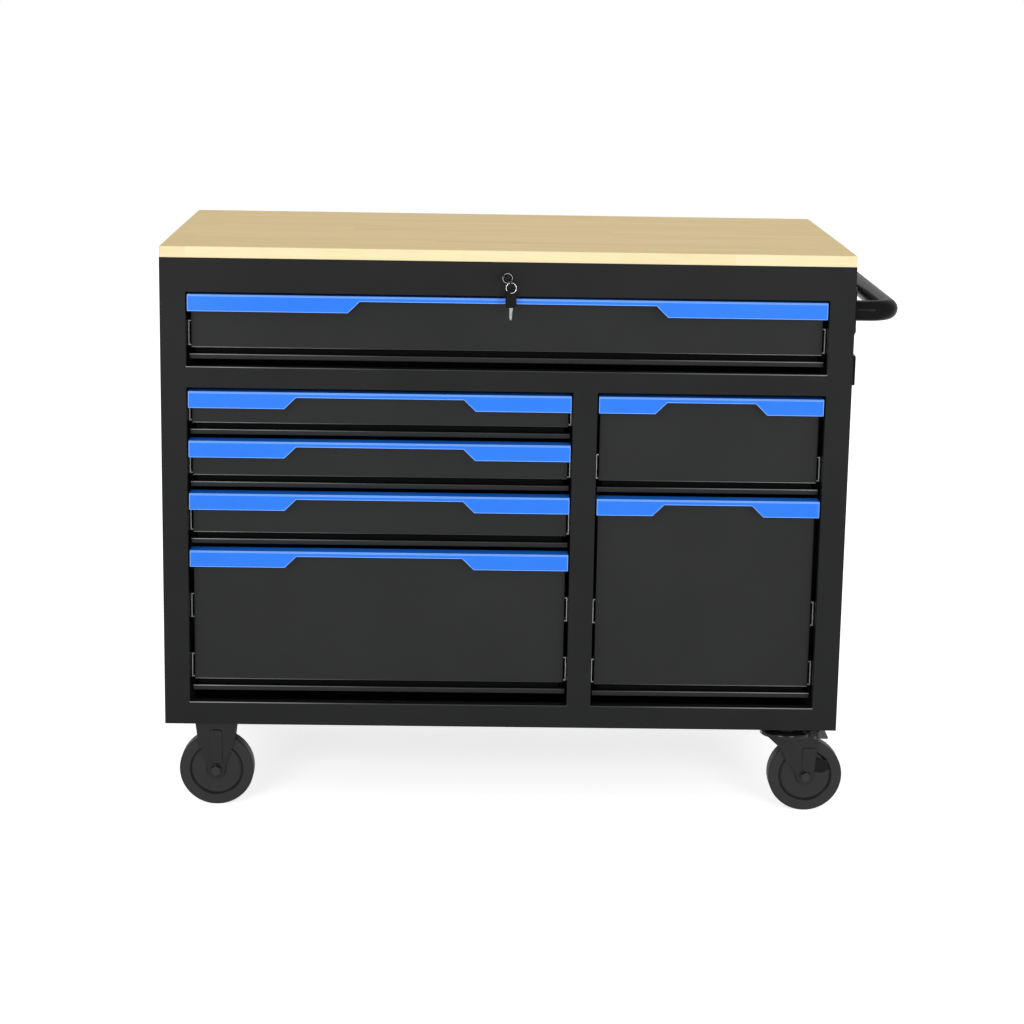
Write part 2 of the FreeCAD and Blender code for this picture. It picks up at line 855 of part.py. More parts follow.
path.addGeometry(Part.LineSegment(path_points[4], path_points[5]), False)
for i in range(4):
    path.addConstraint(Sketcher.Constraint("Tangent", i, 2, i + 1, 1))
path.addConstraint(Sketcher.Constraint("Horizontal", 0))
path.addConstraint(Sketcher.Constraint("Horizontal", 4))
path.addConstraint(Sketcher.Constraint("Equal", 1, 3))
at = path.addConstraint(Sketcher.Constraint("Radius", 1, number(bend)))
path.setExpression("Constraints[%d]" % at, bend.formula)
bind_point(path, 0, 1, (plate_x, front_y))
bind_point(path, 4, 2, (plate_x, rear_y))
at = path.addConstraint(Sketcher.Constraint("DistanceX", -1, 1, 2, 1, number(out_x)))
path.setExpression("Constraints[%d]" % at, out_x.formula)
ring_sketch = new_sketch(body, "x", plate_x, circles=[
    ((front_y, handle_z), tube_r), ((front_y, handle_z), bore)])
pipe = body.newObject("PartDesign::AdditivePipe", "Tube")
pipe.Profile = ring_sketch
pipe.Spine = (path, [])

strap_r = named("plate_width") / 2
straight = named("plate_height") / 2 - strap_r
bolt_rise = named("handle_bolt_pitch") / 2
handle_bolt_hole = named("handle_bolt") / 2 + named("running_play")
brackets = []
for y in (front_y, rear_y):
    strap = bar(rectangle(y - strap_r, y + strap_r, handle_z - straight,
                          handle_z + straight), "x", half, named("plate_thick"))
    for way in (-1, 1):
        end = rod(strap_r, named("plate_thick"), (half, y, handle_z + straight * way), (1, 0, 0))
        strap = strap.fuse(end)
    strap = strap.removeSplitter()
    for way in (-1, 1):
        drill = rod(handle_bolt_hole, named("plate_thick"),
                    (half, y, handle_z + bolt_rise * way), (1, 0, 0))
        strap = strap.cut(drill)
    brackets.append(strap)
group("handle_brackets", brackets)

# The handle's bolts pass through the right side panel.
right_panel = [obj for obj in subparts if obj.Label == "right_side_panel"][0]
handle_bolts = [(y, handle_z + bolt_rise * way) for y in (front_y, rear_y) for way in (-1, 1)]
cut(right_panel, "x", inner, half, circles=[(spot, handle_bolt_hole) for spot in handle_bolts])

# Power strip

level = top_z - named("strip_drop")
strip_low = level - named("strip_height") / 2
strip_high = level + named("strip_height") / 2
strip_y = named("strip_front")
strip_end = strip_y + named("strip_length")
strip_out = half + named("strip_proud")
rocker_y = strip_y + named("rocker_place")
rocker_half = named("rocker_width") / 2
rocker_tall = named("rocker_height") / 2
outlet_half = named("outlet_width") / 2
outlet_tall = named("outlet_height") / 2

body = new_body("power_strip_housing")
extrude(body, "y", strip_y, strip_end, [rectangle(half, strip_out, strip_low, strip_high)])
extrude(body, "y", strip_end, strip_end + named("gland_length"),
        circles=[((half + named("strip_proud") / 2, level), named("gland_size") / 2)])
outlets = []
for i in range(OUTLETS):
    centre = strip_y + named("outlet_place") + named("outlet_pitch") * i
    outlets.append(rectangle(centre - outlet_half, centre + outlet_half,
                             level - outlet_tall, level + outlet_tall))
cut(body, "x", strip_out - named("outlet_sink"), strip_out, outlets)
cut(body, "x", strip_out - named("rocker_sink"), strip_out, [
    rectangle(rocker_y - rocker_half, rocker_y + rocker_half,
              level - rocker_tall, level + rocker_tall)])

pivot_x = strip_out - named("rocker_sink") / 2
pivot_r = named("rocker_pivot") / 2
reach = rocker_half - named("rocker_clear")
brow = named("rocker_proud")
rocker_low = level - rocker_tall + named("slide_play")
rocker_high = level + rocker_tall - named("slide_play")
body = new_body("power_strip_switch")
extrude(body, "z", rocker_low, rocker_high, [[
    (pivot_x, rocker_y - pivot_r), (strip_out - brow, rocker_y - reach),
    (strip_out + brow, rocker_y - reach), (strip_out, rocker_y),
    (strip_out - brow, rocker_y + reach), (pivot_x, rocker_y + pivot_r)]])
extrude(body, "z", rocker_low, rocker_high, circles=[((pivot_x, rocker_y), pivot_r)])

# Casters

wheel_r = named("wheel_size") / 2
axle_r = named("axle_size") / 2
plate_low = floor_z - named("caster_plate")
gap_half = named("fork_gap") / 2
leg_out = gap_half + named("fork_wall")
plate_half_x = named("caster_plate_length") / 2
plate_half_y = named("caster_plate_width") / 2
swivel_axle_x = swivel_x + named("trail")
head_r = named("axle_head") / 2
rib = named("rib_thick")


def caster_plate(x, y):
    """Make one mounting plate with its four bolt holes."""
    thick = named("caster_plate")
    plate = bar(rectangle(x - plate_half_x, x + plate_half_x, y - plate_half_y,
                          y + plate_half_y), "z", plate_low, thick)
    for hole_x, hole_y in bolt_circle(x, y):
        plate = plate.cut(rod(bolt_hole, thick, (hole_x, hole_y, plate_low), (0, 0, 1)))
    return plate


def make_wheel(label, x, y):
    """Build one wheel: tread, groove, hub disc and boss, with its bore."""
    body = doc.addObject("PartDesign::Body", label)
    body.Label = label
    place(keep(body), x, y, wheel_r)
    rim = named("wheel_width") / 2
    boss = named("hub_width") / 2
    boss_r = named("boss_size") / 2
    disc = rim - named("hub_sink")
    slope_r = boss_r + named("hub_sink")
    groove_in = (named("groove_size") - named("groove_width")) / 2
    groove_out = (named("groove_size") + named("groove_width")) / 2
    floor = rim - named("groove_depth")
    bore_edge = axle_r + named("running_play")
    crown_r = wheel_r - named("tread_crown")
    shoulder_r = wheel_r - named("tread_shoulder")
    crown_y = rim - named("tread_shoulder")
    flat_y = rim - named("tread_edge")
    side = [(bore_edge, boss), (boss_r, boss), (slope_r, disc), (groove_in, disc),
            (groove_in, floor), (groove_out, floor), (groove_out, rim), (shoulder_r, rim),
            (crown_r, crown_y), (wheel_r, flat_y)]
    mirrored = [(r, -y) for r, y in reversed(side)]
    revolve(body, "z", [side + mirrored])


def add_axle(body, x, y):
    """Add the axle bolt, with its head in front of the fork and its nut behind it."""
    head = y - leg_out - rib
    extrude(body, "y", head, y + leg_out, circles=[((x, wheel_r), axle_r)])
    extrude(body, "y", head - named("axle_head_thick"), head, [hexagon(x, wheel_r)])
    extrude(body, "y", y + leg_out, y + leg_out + named("axle_nut"), [hexagon(x, wheel_r)])


def hexagon(x, z):
    """Give the corners of a six-sided bolt head."""
    return [(x + head_r * math.cos(math.radians(60 * k)),
             z + head_r * math.sin(math.radians(60 * k))) for k in range(6)]


def leg_outline(x, top, left, right):
    """Give a fork leg's side outline from its half widths at waist, flare, shoulder and top."""
    foot = named("leg_foot") / 2
    chamfer = named("leg_chamfer")
    toe = wheel_r - named("leg_toe")
    heights = [wheel_r + named("waist_rise"), wheel_r + named("flare_rise"),
               wheel_r + named("shoulder_rise"), top]
    going_up = [(x + out, z) for out, z in zip(right, heights)]
    going_down = [(x - out, z) for out, z in zip(left, heights)][::-1]
    return [(x - foot + chamfer, toe), (x + foot - chamfer, toe), (x + foot, toe + chamfer),
            *going_up, *going_down, (x - foot, toe + chamfer)]


def add_legs(body, y, outline):
    """Add the two fork legs, one on each side of the wheel."""
    extrude(body, "y", y - leg_out, y - gap_half, [outline])
    extrude(body, "y", y + gap_half, y + leg_out, [outline])


rigid_half = [named("rigid_waist"), named("rigid_flare"), named("rigid_shoulder"),
              named("leg_top") / 2]
rib_half = named("rib_width") / 2
rib_low = wheel_r + named("rib_rise")
rib_high = plate_low - named("rib_drop")
for label, y in (("rigid_fork_front", caster_y[0]), ("rigid_fork_rear", caster_y[1])):
    body = new_body(label)
    extrude(body, "z", plate_low, floor_z, [
        rectangle(rigid_x - plate_half_x, rigid_x + plate_half_x,
                  y - plate_half_y, y + plate_half_y)])
    cut(body, "z", plate_low, floor_z,
        circles=[(hole, bolt_hole) for hole in bolt_circle(rigid_x, y)])
    add_legs(body, y, leg_outline(rigid_x, plate_low, rigid_half, rigid_half))
    for start in (y - leg_out - rib, y + leg_out):
        extrude(body, "y", start, start + rib, [
            rectangle(rigid_x - rib_half, rigid_x + rib_half, rib_low, rib_high)])
    add_axle(body, rigid_x, y)

race_r = named("race_size") / 2
king_r = named("kingpin_size") / 2
king_head_r = named("kingpin_head_size") / 2
race_low = plate_low - named("race_drop")
king_low = race_low - named("kingpin_reach")
plates = []
for y in caster_y:
    race = rod(race_r, named("race_drop"), (swivel_x, y, race_low), (0, 0, 1))
    pin = rod(king_r, named("kingpin_reach"), (swivel_x, y, king_low), (0, 0, 1))
    head = rod(king_head_r, named("kingpin_head"), (swivel_x, y, king_low), (0, 0, 1))
    plates.append(caster_plate(swivel_x, y).fuse([race, pin, head]).removeSplitter())
group("swivel_caster_plates", plates)

crown_top = race_low - named("slide_play")
crown_low = crown_top - named("crown_thick")
pedal_x = swivel_axle_x + named("pedal_out")
pedal_z = wheel_r + named("pedal_rise")
pedal_pin_r = named("pedal_pin") / 2
back_half = [named("back_waist"), named("back_flare"), named("back_shoulder"),
             named("back_top")]
front_half = [named("rigid_waist"), named("front_flare"), named("front_top"),
              named("front_top")]
brace_low = wheel_r + named("brace_rise")
brace_high = wheel_r + named("brace_reach")
brace = [
    (swivel_axle_x - named("brace_back"), brace_low),
    (swivel_axle_x + named("brace_foot"), brace_low),
    (swivel_axle_x + named("brace_top"), brace_high),
    (swivel_axle_x - named("brace_back"), brace_high),
]
for label, y in (("swivel_fork_front", caster_y[0]), ("swivel_fork_rear", caster_y[1])):
    body = new_body(label)
    extrude(body, "z", crown_low, crown_top,
            circles=[((swivel_x, y), named("crown_size") / 2)])
    extrude(body, "z", crown_low, crown_top, [
        rectangle(swivel_x - named("crown_back"), pedal_x + named("crown_out"),
                  y - leg_out, y + leg_out)])
    add_legs(body, y, leg_outline(swivel_axle_x, crown_top, back_half, front_half))
    extrude(body, "y", y - leg_out - rib, y - leg_out, [brace])
    cut(body, "z", crown_low, crown_top,
        circles=[((swivel_x, y), king_r + named("running_play"))])
    cut(body, "y", y - leg_out, y + leg_out,
        circles=[((pedal_x, pedal_z), pedal_pin_r + named("running_play"))])
    add_axle(body, swivel_axle_x, y)

pedal_half = named("pedal_width") / 2
eye = named("pedal_eye")
knee_x = pedal_x + named("pedal_knee")
toe_x = pedal_x + named("pedal_reach")
pedal_low = pedal_z - named("pedal_drop")
pedal_top = pedal_low + named("pedal_thick")
tab_in = pedal_x + named("pedal_tab_in")
tab_out = pedal_x + named("pedal_tab_out")
tab_top = pedal_z + named("pedal_tab_rise")
for label, y in (("brake_pedal_front", caster_y[0]), ("brake_pedal_rear", caster_y[1])):
    body = new_body(label)
    extrude(body, "y", y - pedal_half, y + pedal_half, [[
        (pedal_x - eye, pedal_z - eye), (pedal_x + eye, pedal_z - eye), (knee_x, pedal_low),
        (toe_x, pedal_low), (toe_x, pedal_top), (tab_out, tab_top), (tab_in, tab_top),
        (pedal_x + eye, pedal_z + eye), (pedal_x - eye, pedal_z + eye)]])
    pin_out = leg_out + named("pin_proud")
    extrude(body, "y", y - pin_out, y + pin_out, circles=[((pedal_x, pedal_z), pedal_pin_r)])

make_wheel("wheel_left_front", rigid_x, caster_y[0])
make_wheel("wheel_left_rear", rigid_x, caster_y[1])
make_wheel("wheel_right_front", swivel_axle_x, caster_y[0])
make_wheel("wheel_right_rear", swivel_axle_x, caster_y[1])

# Screws and bolts

fasteners = []
screw_r = named("wood_screw") / 2
bolt_r = named("bolt_head") / 2
tail = named("bolt_tail")
head_t = named("bolt_head_thick")
screw_head_t = named("screw_head_thick")
for x, y in screw_places:
    head = rod(named("screw_head") / 2, screw_head_t,
               (x, y, top_z - sheet_t - screw_head_t), (0, 0, 1))
    shank = rod(screw_r, sheet_t + named("screw_reach"), (x, y, top_z - sheet_t), (0, 0, 1))
    fasteners.append(head.fuse(shank).removeSplitter())
for x, y in plate_bolts:
    head = rod(bolt_r, head_t, (x, y, plate_low - head_t), (0, 0, 1))
    shank = rod(named("bolt_size") / 2, named("caster_plate") + sheet_t + tail,
                (x, y, plate_low), (0, 0, 1))
    nut = rod(bolt_r, named("bolt_nut"), (x, y, floor_z + sheet_t), (0, 0, 1))
    fasteners.append(head.fuse([shank, nut]).removeSplitter())
for y, z in handle_bolts:
    head = rod(bolt_r, head_t, (plate_x, y, z), (1, 0, 0))
    shank = rod(named("handle_bolt") / 2, named("plate_thick") + sheet_t + tail,
                (inner - tail, y, z), (1, 0, 0))
    nut = rod(bolt_r, named("bolt_nut"), (inner - named("bolt_nut"), y, z), (1, 0, 0))
    fasteners.append(head.fuse([shank, nut]).removeSplitter())
group("fasteners", fasteners)

# Check and export

doc.recompute()
for obj in doc.Objects:
    if "Invalid" in obj.State or "Error" in obj.State:
        raise RuntimeError("failed: " + obj.Name)
for obj in subparts:
    if obj.Shape.isNull() or not obj.Shape.isValid() or not obj.Shape.Solids:
        raise RuntimeError("bad shape: " + obj.Label)

os.makedirs("parts", exist_ok=True)
for obj in subparts:
    obj.Shape.exportStep("parts/%s.step" % obj.Label)
print("sub-parts:", len(subparts))
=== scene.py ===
import logging
import math
from dataclasses import dataclass
from enum import Enum
from typing import Callable, Dict, Iterable, List, Optional, Sequence, Tuple, Type, Union

import bmesh
import bpy
from mathutils import Matrix, Vector


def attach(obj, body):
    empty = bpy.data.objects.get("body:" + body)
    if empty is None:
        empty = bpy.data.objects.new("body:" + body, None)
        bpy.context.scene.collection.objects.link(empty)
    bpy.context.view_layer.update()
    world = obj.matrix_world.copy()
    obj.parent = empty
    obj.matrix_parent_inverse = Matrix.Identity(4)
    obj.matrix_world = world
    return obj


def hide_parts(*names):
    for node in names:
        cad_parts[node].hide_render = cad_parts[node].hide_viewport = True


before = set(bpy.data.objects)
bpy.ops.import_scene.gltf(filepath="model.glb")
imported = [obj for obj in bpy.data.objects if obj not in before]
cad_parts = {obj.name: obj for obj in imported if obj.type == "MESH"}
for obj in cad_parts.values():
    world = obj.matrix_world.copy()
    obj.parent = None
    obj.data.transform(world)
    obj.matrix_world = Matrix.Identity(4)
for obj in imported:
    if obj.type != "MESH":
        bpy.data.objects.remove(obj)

LOG = logging.getLogger("tool_chest")
Pair = Tuple[float, float]
Triple = Tuple[float, float, float]
Row = Tuple[float, ...]
Outline = Sequence[Pair]
Round = Tuple[float, int]
Socket = bpy.types.NodeSocket
Edge = bmesh.types.BMEdge
Face = bmesh.types.BMFace
Vert = bmesh.types.BMVert
Inputs = Dict[Union[int, str], object]
EdgeTest = Callable[[Edge], bool]
FaceTest = Callable[[Face], bool]

# The chest is measured from the middle of its front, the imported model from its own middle.
SHIFT = Vector((-0.04175, -0.2945, 0.0))
MM = 0.001
# Distances in metres below which two places count as one, and angles from which an edge
# counts as sharp, as a rim or as steep.
NEAR = 1e-5
SAME = 1e-6
SMALL = 0.0005
SHARP, RIM, STEEP = (math.radians(angle) for angle in (20, 50, 60))
ALONG_X, ALONG_Y, ALONG_Z = (Vector(way) for way in ((1, 0, 0), (0, 1, 0), (0, 0, 1)))
SIDES = (-1.0, 1.0)


def place(x: float, y: float, z: float) -> Vector:
    """Give the scene's point, in metres, for a point on the chest in millimetres."""
    return Vector((x * MM, y * MM, z * MM)) + SHIFT


def level(axis: str, value: float) -> float:
    """Give the scene's coordinate for a place along one axis of the chest."""
    return getattr(place(value, value, value), axis)


# Shader effects


class Graph:
    """A short way to add and join nodes in one node tree."""

    def __init__(self, tree: bpy.types.NodeTree) -> None:
        """Keep the tree to build in."""
        self.tree = tree

    def add(self, kind: str, inputs: Optional[Inputs] = None, **settings: object
            ) -> bpy.types.Node:
        """Add a node.

        Args:
            kind: The node's type name.
            inputs: Sockets or values for its inputs.
            settings: Properties of the node.

        Returns:
            The new node.
        """
        node = self.tree.nodes.new(kind)
        for name, value in settings.items():
            setattr(node, name, value)
        self.fill(node, inputs or {})
        return node

    def fill(self, node: bpy.types.Node, inputs: Inputs) -> None:
        """Link sockets to a node's inputs, and set the inputs that get a value.

        Args:
            node: The node.
            inputs: A socket or a value for each input.
        """
        for key, value in inputs.items():
            if isinstance(value, Socket):
                self.tree.links.new(value, node.inputs[key])
            else:
                node.inputs[key].default_value = value

    def math(self, operation: str, first: object, second: object = 0.0) -> Socket:
        """Add a maths node on sockets or numbers."""
        return self.add("ShaderNodeMath", {0: first, 1: second},
                        operation=operation).outputs[0]

    def plus(self, first: object, second: object, share: float) -> Socket:
        """Add a share of a second value to a first one."""
        return self.math("ADD", first, self.math("MULTIPLY", second, share))

    def noise(self, vector: Socket, scale: float, detail: float = 3.0,
              roughness: float = 0.5) -> Socket:
        """Add a noise texture and give its value."""
        return self.add("ShaderNodeTexNoise", {
            "Scale": scale, "Detail": detail, "Roughness": roughness, "Vector": vector,
        }).outputs["Fac"]

    def random(self, value: Socket) -> Socket:
        """Give a random value for each whole number."""
        return self.add("ShaderNodeTexWhiteNoise", {"W": value},
                        noise_dimensions="1D").outputs["Value"]

    def stretch(self, vector: Socket, scale: Triple) -> Socket:
        """Scale a texture vector along each axis."""
        return self.add("ShaderNodeMapping",
                        {"Scale": scale, "Vector": vector}).outputs["Vector"]

    def split(self, vector: Socket) -> List[Socket]:
        """Give a vector's three parts."""
        return list(self.add("ShaderNodeSeparateXYZ", {0: vector}).outputs)

    def ramp(self, value: Socket, low: float, high: float, to_low: float = 0.0,
             to_high: float = 1.0) -> Socket:
        """Map a value from one range to another, with clamping.

        Args:
            value: The value's socket.
            low: Start of the source range.
            high: End of the source range.
            to_low: Start of the target range.
            to_high: End of the target range.

        Returns:
            The result's socket.
        """
        return self.add("ShaderNodeMapRange", {
            "From Min": low, "From Max": high, "To Min": to_low, "To Max": to_high,
            "Value": value}).outputs["Result"]

    def blend(self, factor: Socket, first: object, second: object) -> Socket:
        """Mix two colours.

        Args:
            factor: The mix's socket.
            first: A colour or a colour socket.
            second: A colour or a colour socket.

        Returns:
            The mixed colour's socket.
        """
        node = self.add("ShaderNodeMix", {"Factor": factor}, data_type="RGBA")
        for name, value in (("A", first), ("B", second)):
            keys = [key for key, socket in enumerate(node.inputs)
                    if socket.name == name and socket.type == "RGBA"]
            colour = value if isinstance(value, Socket) else (*value, 1.0)
            self.fill(node, {keys[0]: colour})
        return [s for s in node.outputs if s.type == "RGBA"][0]

    def mix(self, factor: Socket, first: Socket, second: Socket) -> Socket:
        """Mix two shaders."""
        return self.add("ShaderNodeMixShader", {0: factor, 1: first, 2: second}).outputs[0]

    def seen(self) -> Socket:
        """Give 1 for rays that see the background, directly or in a shiny surface."""
        rays = self.add("ShaderNodeLightPath").outputs
        shiny = self.math("MAXIMUM", rays["Is Glossy Ray"], rays["Is Transmission Ray"])
        return self.math("MAXIMUM", rays["Is Camera Ray"], shiny)

    def bump(self, height: Socket, strength: float, distance: float) -> Socket:
        """Turn a height into a normal."""
        return self.add("ShaderNodeBump", {
            "Strength": strength, "Distance": distance, "Height": height}).outputs["Normal"]


class Effect(Enum):
    """Shader effects that several finishes share: a group's name and its two outputs."""

    PAINT_SKIN = ("paint_skin", "Height", "Cloud")
    DRIFT = ("drift", "Tone", "Speck")
    BRUSHED = ("brushed", "Line", "Mottle")

    def group(self) -> bpy.types.NodeTree:
        """Give the effect's node group, and build it at first use.

        Returns:
            The group, with a vector input and two value outputs.
        """
        name, *outputs = self.value
        tree = bpy.data.node_groups.get(name)
        if tree is None:
            tree = bpy.data.node_groups.new(name, "ShaderNodeTree")
            tree.interface.new_socket("Vector", in_out="INPUT",
                                      socket_type="NodeSocketVector")
            for output in outputs:
                tree.interface.new_socket(output, in_out="OUTPUT",
                                          socket_type="NodeSocketFloat")
            graph = Graph(tree)
            vector = graph.add("NodeGroupInput").outputs["Vector"]
            graph.add("NodeGroupOutput", dict(zip(outputs, self.values(graph, vector))))
        return tree

    def values(self, graph: Graph, vector: Socket) -> Tuple[Socket, Socket]:
        """Build the effect's two values.

        Args:
            graph: The group's graph.
            vector: The place on the object.

        Returns:
            The sockets of both values.
        """
        if self is Effect.PAINT_SKIN:  # fine dimples of a powder coat, and faint clouding
            fine = graph.noise(vector, 900.0, 2.0)
            broad = graph.noise(vector, 260.0, 2.0)
            cloud = graph.noise(vector, 5.0, 4.0, 0.6)
            return (graph.plus(graph.math("MULTIPLY", fine, 0.45), broad, 0.55),
                    graph.ramp(cloud, 0.35, 0.65))
        if self is Effect.DRIFT:  # slow tone changes and small specks of moulded surfaces
            return (graph.ramp(graph.noise(vector, 18.0, 4.0, 0.6), 0.3, 0.7),
                    graph.noise(vector, 1500.0, 2.0, 0.6))
        along = graph.stretch(vector, (900.0, 14.0, 900.0))  # fine lines along Y
        return (graph.noise(along, 1.0, 3.0, 0.6),
                graph.ramp(graph.noise(vector, 60.0, 3.0, 0.55), 0.35, 0.65))


class Surface(Graph):
    """The graph of a material, with its main shader and the place on the object."""

    def __init__(self, tree: bpy.types.NodeTree) -> None:
        """Keep the tree, and find the shader and the place."""
        super().__init__(tree)
        self.shader = tree.nodes["Principled BSDF"]
        self.where = self.add("ShaderNodeTexCoord").outputs["Object"]

    def effect(self, effect: Effect) -> bpy.types.Node:
        """Add the node group of an effect."""
        node = self.add("ShaderNodeGroup", node_tree=effect.group())
        self.fill(node, {"Vector": self.where})
        return node


class Coating:
    """What all finishes share: a node material that is built once."""

    name: str

    def build(self) -> bpy.types.Material:
        """Give the finish's material, and build it at first use.

        Returns:
            The material.
        """
        material = bpy.data.materials.get(self.name)
        if material is None:
            material = bpy.data.materials.new(self.name)
            material.use_nodes = True
            self.paint(Surface(material.node_tree))
        return material

    def paint(self, graph: Surface) -> None:
        """Add the finish's own nodes to a material's graph."""
        raise NotImplementedError


@dataclass(frozen=True)
class Finish(Coating):
    """A plain finish: its name, its two colours and how it shines."""

    name: str
    colour: Triple
    second: Triple
    roughness: float
    spread: float = 0.06
    metallic: float = 0.0
    effect: Effect = Effect.PAINT_SKIN
    bump: float = 0.05
    depth: float = 0.0002
    specular: float = 0.5

    def paint(self, graph: Surface) -> None:
        """Mix colours and roughness by the effect's slow value, and bump by its fine one.

        Args:
            graph: The material's graph.
        """
        height, mask = graph.effect(self.effect).outputs[:2]
        if self.effect is Effect.DRIFT:
            height, mask = mask, height
        graph.fill(graph.shader, {
            "Base Color": graph.blend(mask, self.colour, self.second),
            "Roughness": graph.ramp(mask, 0.0, 1.0, self.roughness - self.spread,
                                    self.roughness + self.spread),
            "Metallic": self.metallic,
            "Specular IOR Level": self.specular,
            "Normal": graph.bump(height, self.bump, self.depth)})


@dataclass(frozen=True)
class StaveWood(Coating):
    """Clear lacquered pale wood, glued from staves that run along the front."""

    name: str = "pale_stave_wood"
    light: Triple = (0.75, 0.575, 0.262)
    middle: Triple = (0.69, 0.515, 0.222)
    dark: Triple = (0.53, 0.370, 0.150)
    # paler colour of the painted light on the front face
    edge: Triple = (0.88, 0.80, 0.52)
    front: float = -0.2945
    stave: float = 0.044
    length: float = 0.46
    stagger: float = 3.7
    seam: float = 0.012
    roughness: float = 0.55
    broad_grain: Triple = (3.0, 40.0, 40.0)
    fine_grain: Triple = (14.0, 520.0, 520.0)
    pore_grain: Triple = (60.0, 1500.0, 1500.0)

    def paint(self, graph: Surface) -> None:
        """Tint each stave, draw its grain, pores and seams, and paint light on the front face.

        Args:
            graph: The material's graph.
        """
        x, y, z = graph.split(graph.where)
        row = graph.math("DIVIDE", y, self.stave)
        number = graph.math("FLOOR", row)
        share = graph.math("FRACT", row)
        along = graph.plus(x, graph.random(number), self.stagger)
        piece = graph.math("FLOOR", graph.math("DIVIDE", along, self.length))
        seed = graph.plus(number, piece, 7.13)
        own = graph.add("ShaderNodeCombineXYZ", {
            "X": graph.plus(x, seed, 0.731), "Y": y, "Z": graph.plus(z, seed, 0.219),
        }).outputs[0]
        broad = graph.noise(graph.stretch(own, self.broad_grain), 1.0, 4.0, 0.55)
        fine = graph.noise(graph.stretch(own, self.fine_grain), 1.0, 3.0, 0.6)
        pores = graph.noise(graph.stretch(own, self.pore_grain), 1.0, 2.0)
        grain = graph.plus(graph.math("MULTIPLY", graph.ramp(broad, 0.3, 0.7), 0.55),
                           graph.ramp(fine, 0.3, 0.7), 0.25)
        grain = graph.plus(grain, graph.random(seed), 0.28)
        tone = graph.blend(graph.ramp(grain, 0.15, 0.75), self.light, self.middle)
        rim = graph.math("MINIMUM", share, graph.math("SUBTRACT", 1.0, share))
        for darker in (graph.ramp(broad, 0.60, 0.82, 0.0, 0.55),
                       graph.ramp(pores, 0.62, 0.80, 0.0, 0.30),
                       graph.ramp(rim, 0.0, self.seam, 0.35, 0.0)):
            tone = graph.blend(darker, tone, self.dark)
        # Painted light: the front face is paler than the top, streaked by the grain.
        front_light_mask = graph.ramp(y, self.front + 0.0002, self.front + 0.0012, 0.85, 0.0)
        streaks = graph.ramp(grain, 0.2, 0.9, 0.0, 0.35)
        front_light_tone = graph.blend(streaks, self.edge, self.middle)
        graph.fill(graph.shader, {
            "Base Color": graph.blend(front_light_mask, tone, front_light_tone),
            "Roughness": graph.ramp(fine, 0.3, 0.7, self.roughness - 0.06,
                                    self.roughness + 0.08),
            "Specular IOR Level": 0.25,
            "Normal": graph.bump(graph.plus(fine, pores, 0.6), 0.12, 0.0003)})


@dataclass(frozen=True)
class PaintedEdgeHighlight(Coating):
    """Black coat on a bent edge, with a painted highlight that grows pale towards the ends of
    the chest.
    """

    name: str = "black_edge_painted_highlight"
    black: Triple = (0.016, 0.017, 0.017)
    # colour of the painted highlight on the bends
    highlight_colour: Triple = (0.300, 0.305, 0.300)
    centre: float = -0.04175
    near: float = 0.20
    far: float = 0.58
    roughness: float = 0.32
    spread: float = 0.05

    def paint(self, graph: Surface) -> None:
        """Paint the highlight pale in patches that grow with the distance from the middle.

        Args:
            graph: The material's graph.
        """
        # Painted highlight: the pale patches stand in for the lamps' glint on the bends.
        away = graph.math("SUBTRACT", graph.split(graph.where)[0], self.centre)
        ends = graph.ramp(graph.math("ABSOLUTE", away), self.near, self.far)
        patchy = graph.noise(graph.stretch(graph.where, (8.0, 60.0, 60.0)), 1.0, 3.0, 0.6)
        highlight_mask = graph.math("MULTIPLY", ends, graph.ramp(patchy, 0.25, 0.60, 0.45, 1.0))
        skin = graph.effect(Effect.PAINT_SKIN)
        graph.fill(graph.shader, {
            "Base Color": graph.blend(highlight_mask, self.black, self.highlight_colour),
            "Roughness": graph.ramp(patchy, 0.3, 0.7, self.roughness - self.spread,
                                    self.roughness + self.spread),
            "Specular IOR Level": 0.4,
            "Normal": graph.bump(skin.outputs["Height"], 0.05, 0.0002)})


@dataclass(frozen=True)
class PaleFloor(Coating):
    """The plain pale floor, which glows for rays that see it as background."""

    name: str = "pale_floor"
    glow: float = 0.68

    def paint(self, graph: Surface) -> None:
        """Paint the floor nearly evenly, and add the glow.

        Args:
            graph: The material's graph.
        """
        graph.fill(graph.shader, {
            "Base Color": graph.blend(graph.noise(graph.where, 3.0), (0.88,) * 3,
                                      (0.92,) * 3),
            "Roughness": 0.9,
            "Specular IOR Level": 0.1})
        dark, bright = (graph.add("ShaderNodeEmission", {"Strength": strength}).outputs[0]
                        for strength in (0.0, self.glow))
        both = graph.add("ShaderNodeAddShader", {
            0: graph.shader.outputs[0], 1: graph.mix(graph.seen(), dark, bright)})
        graph.fill(graph.tree.nodes["Material Output"], {"Surface": both.outputs[0]})


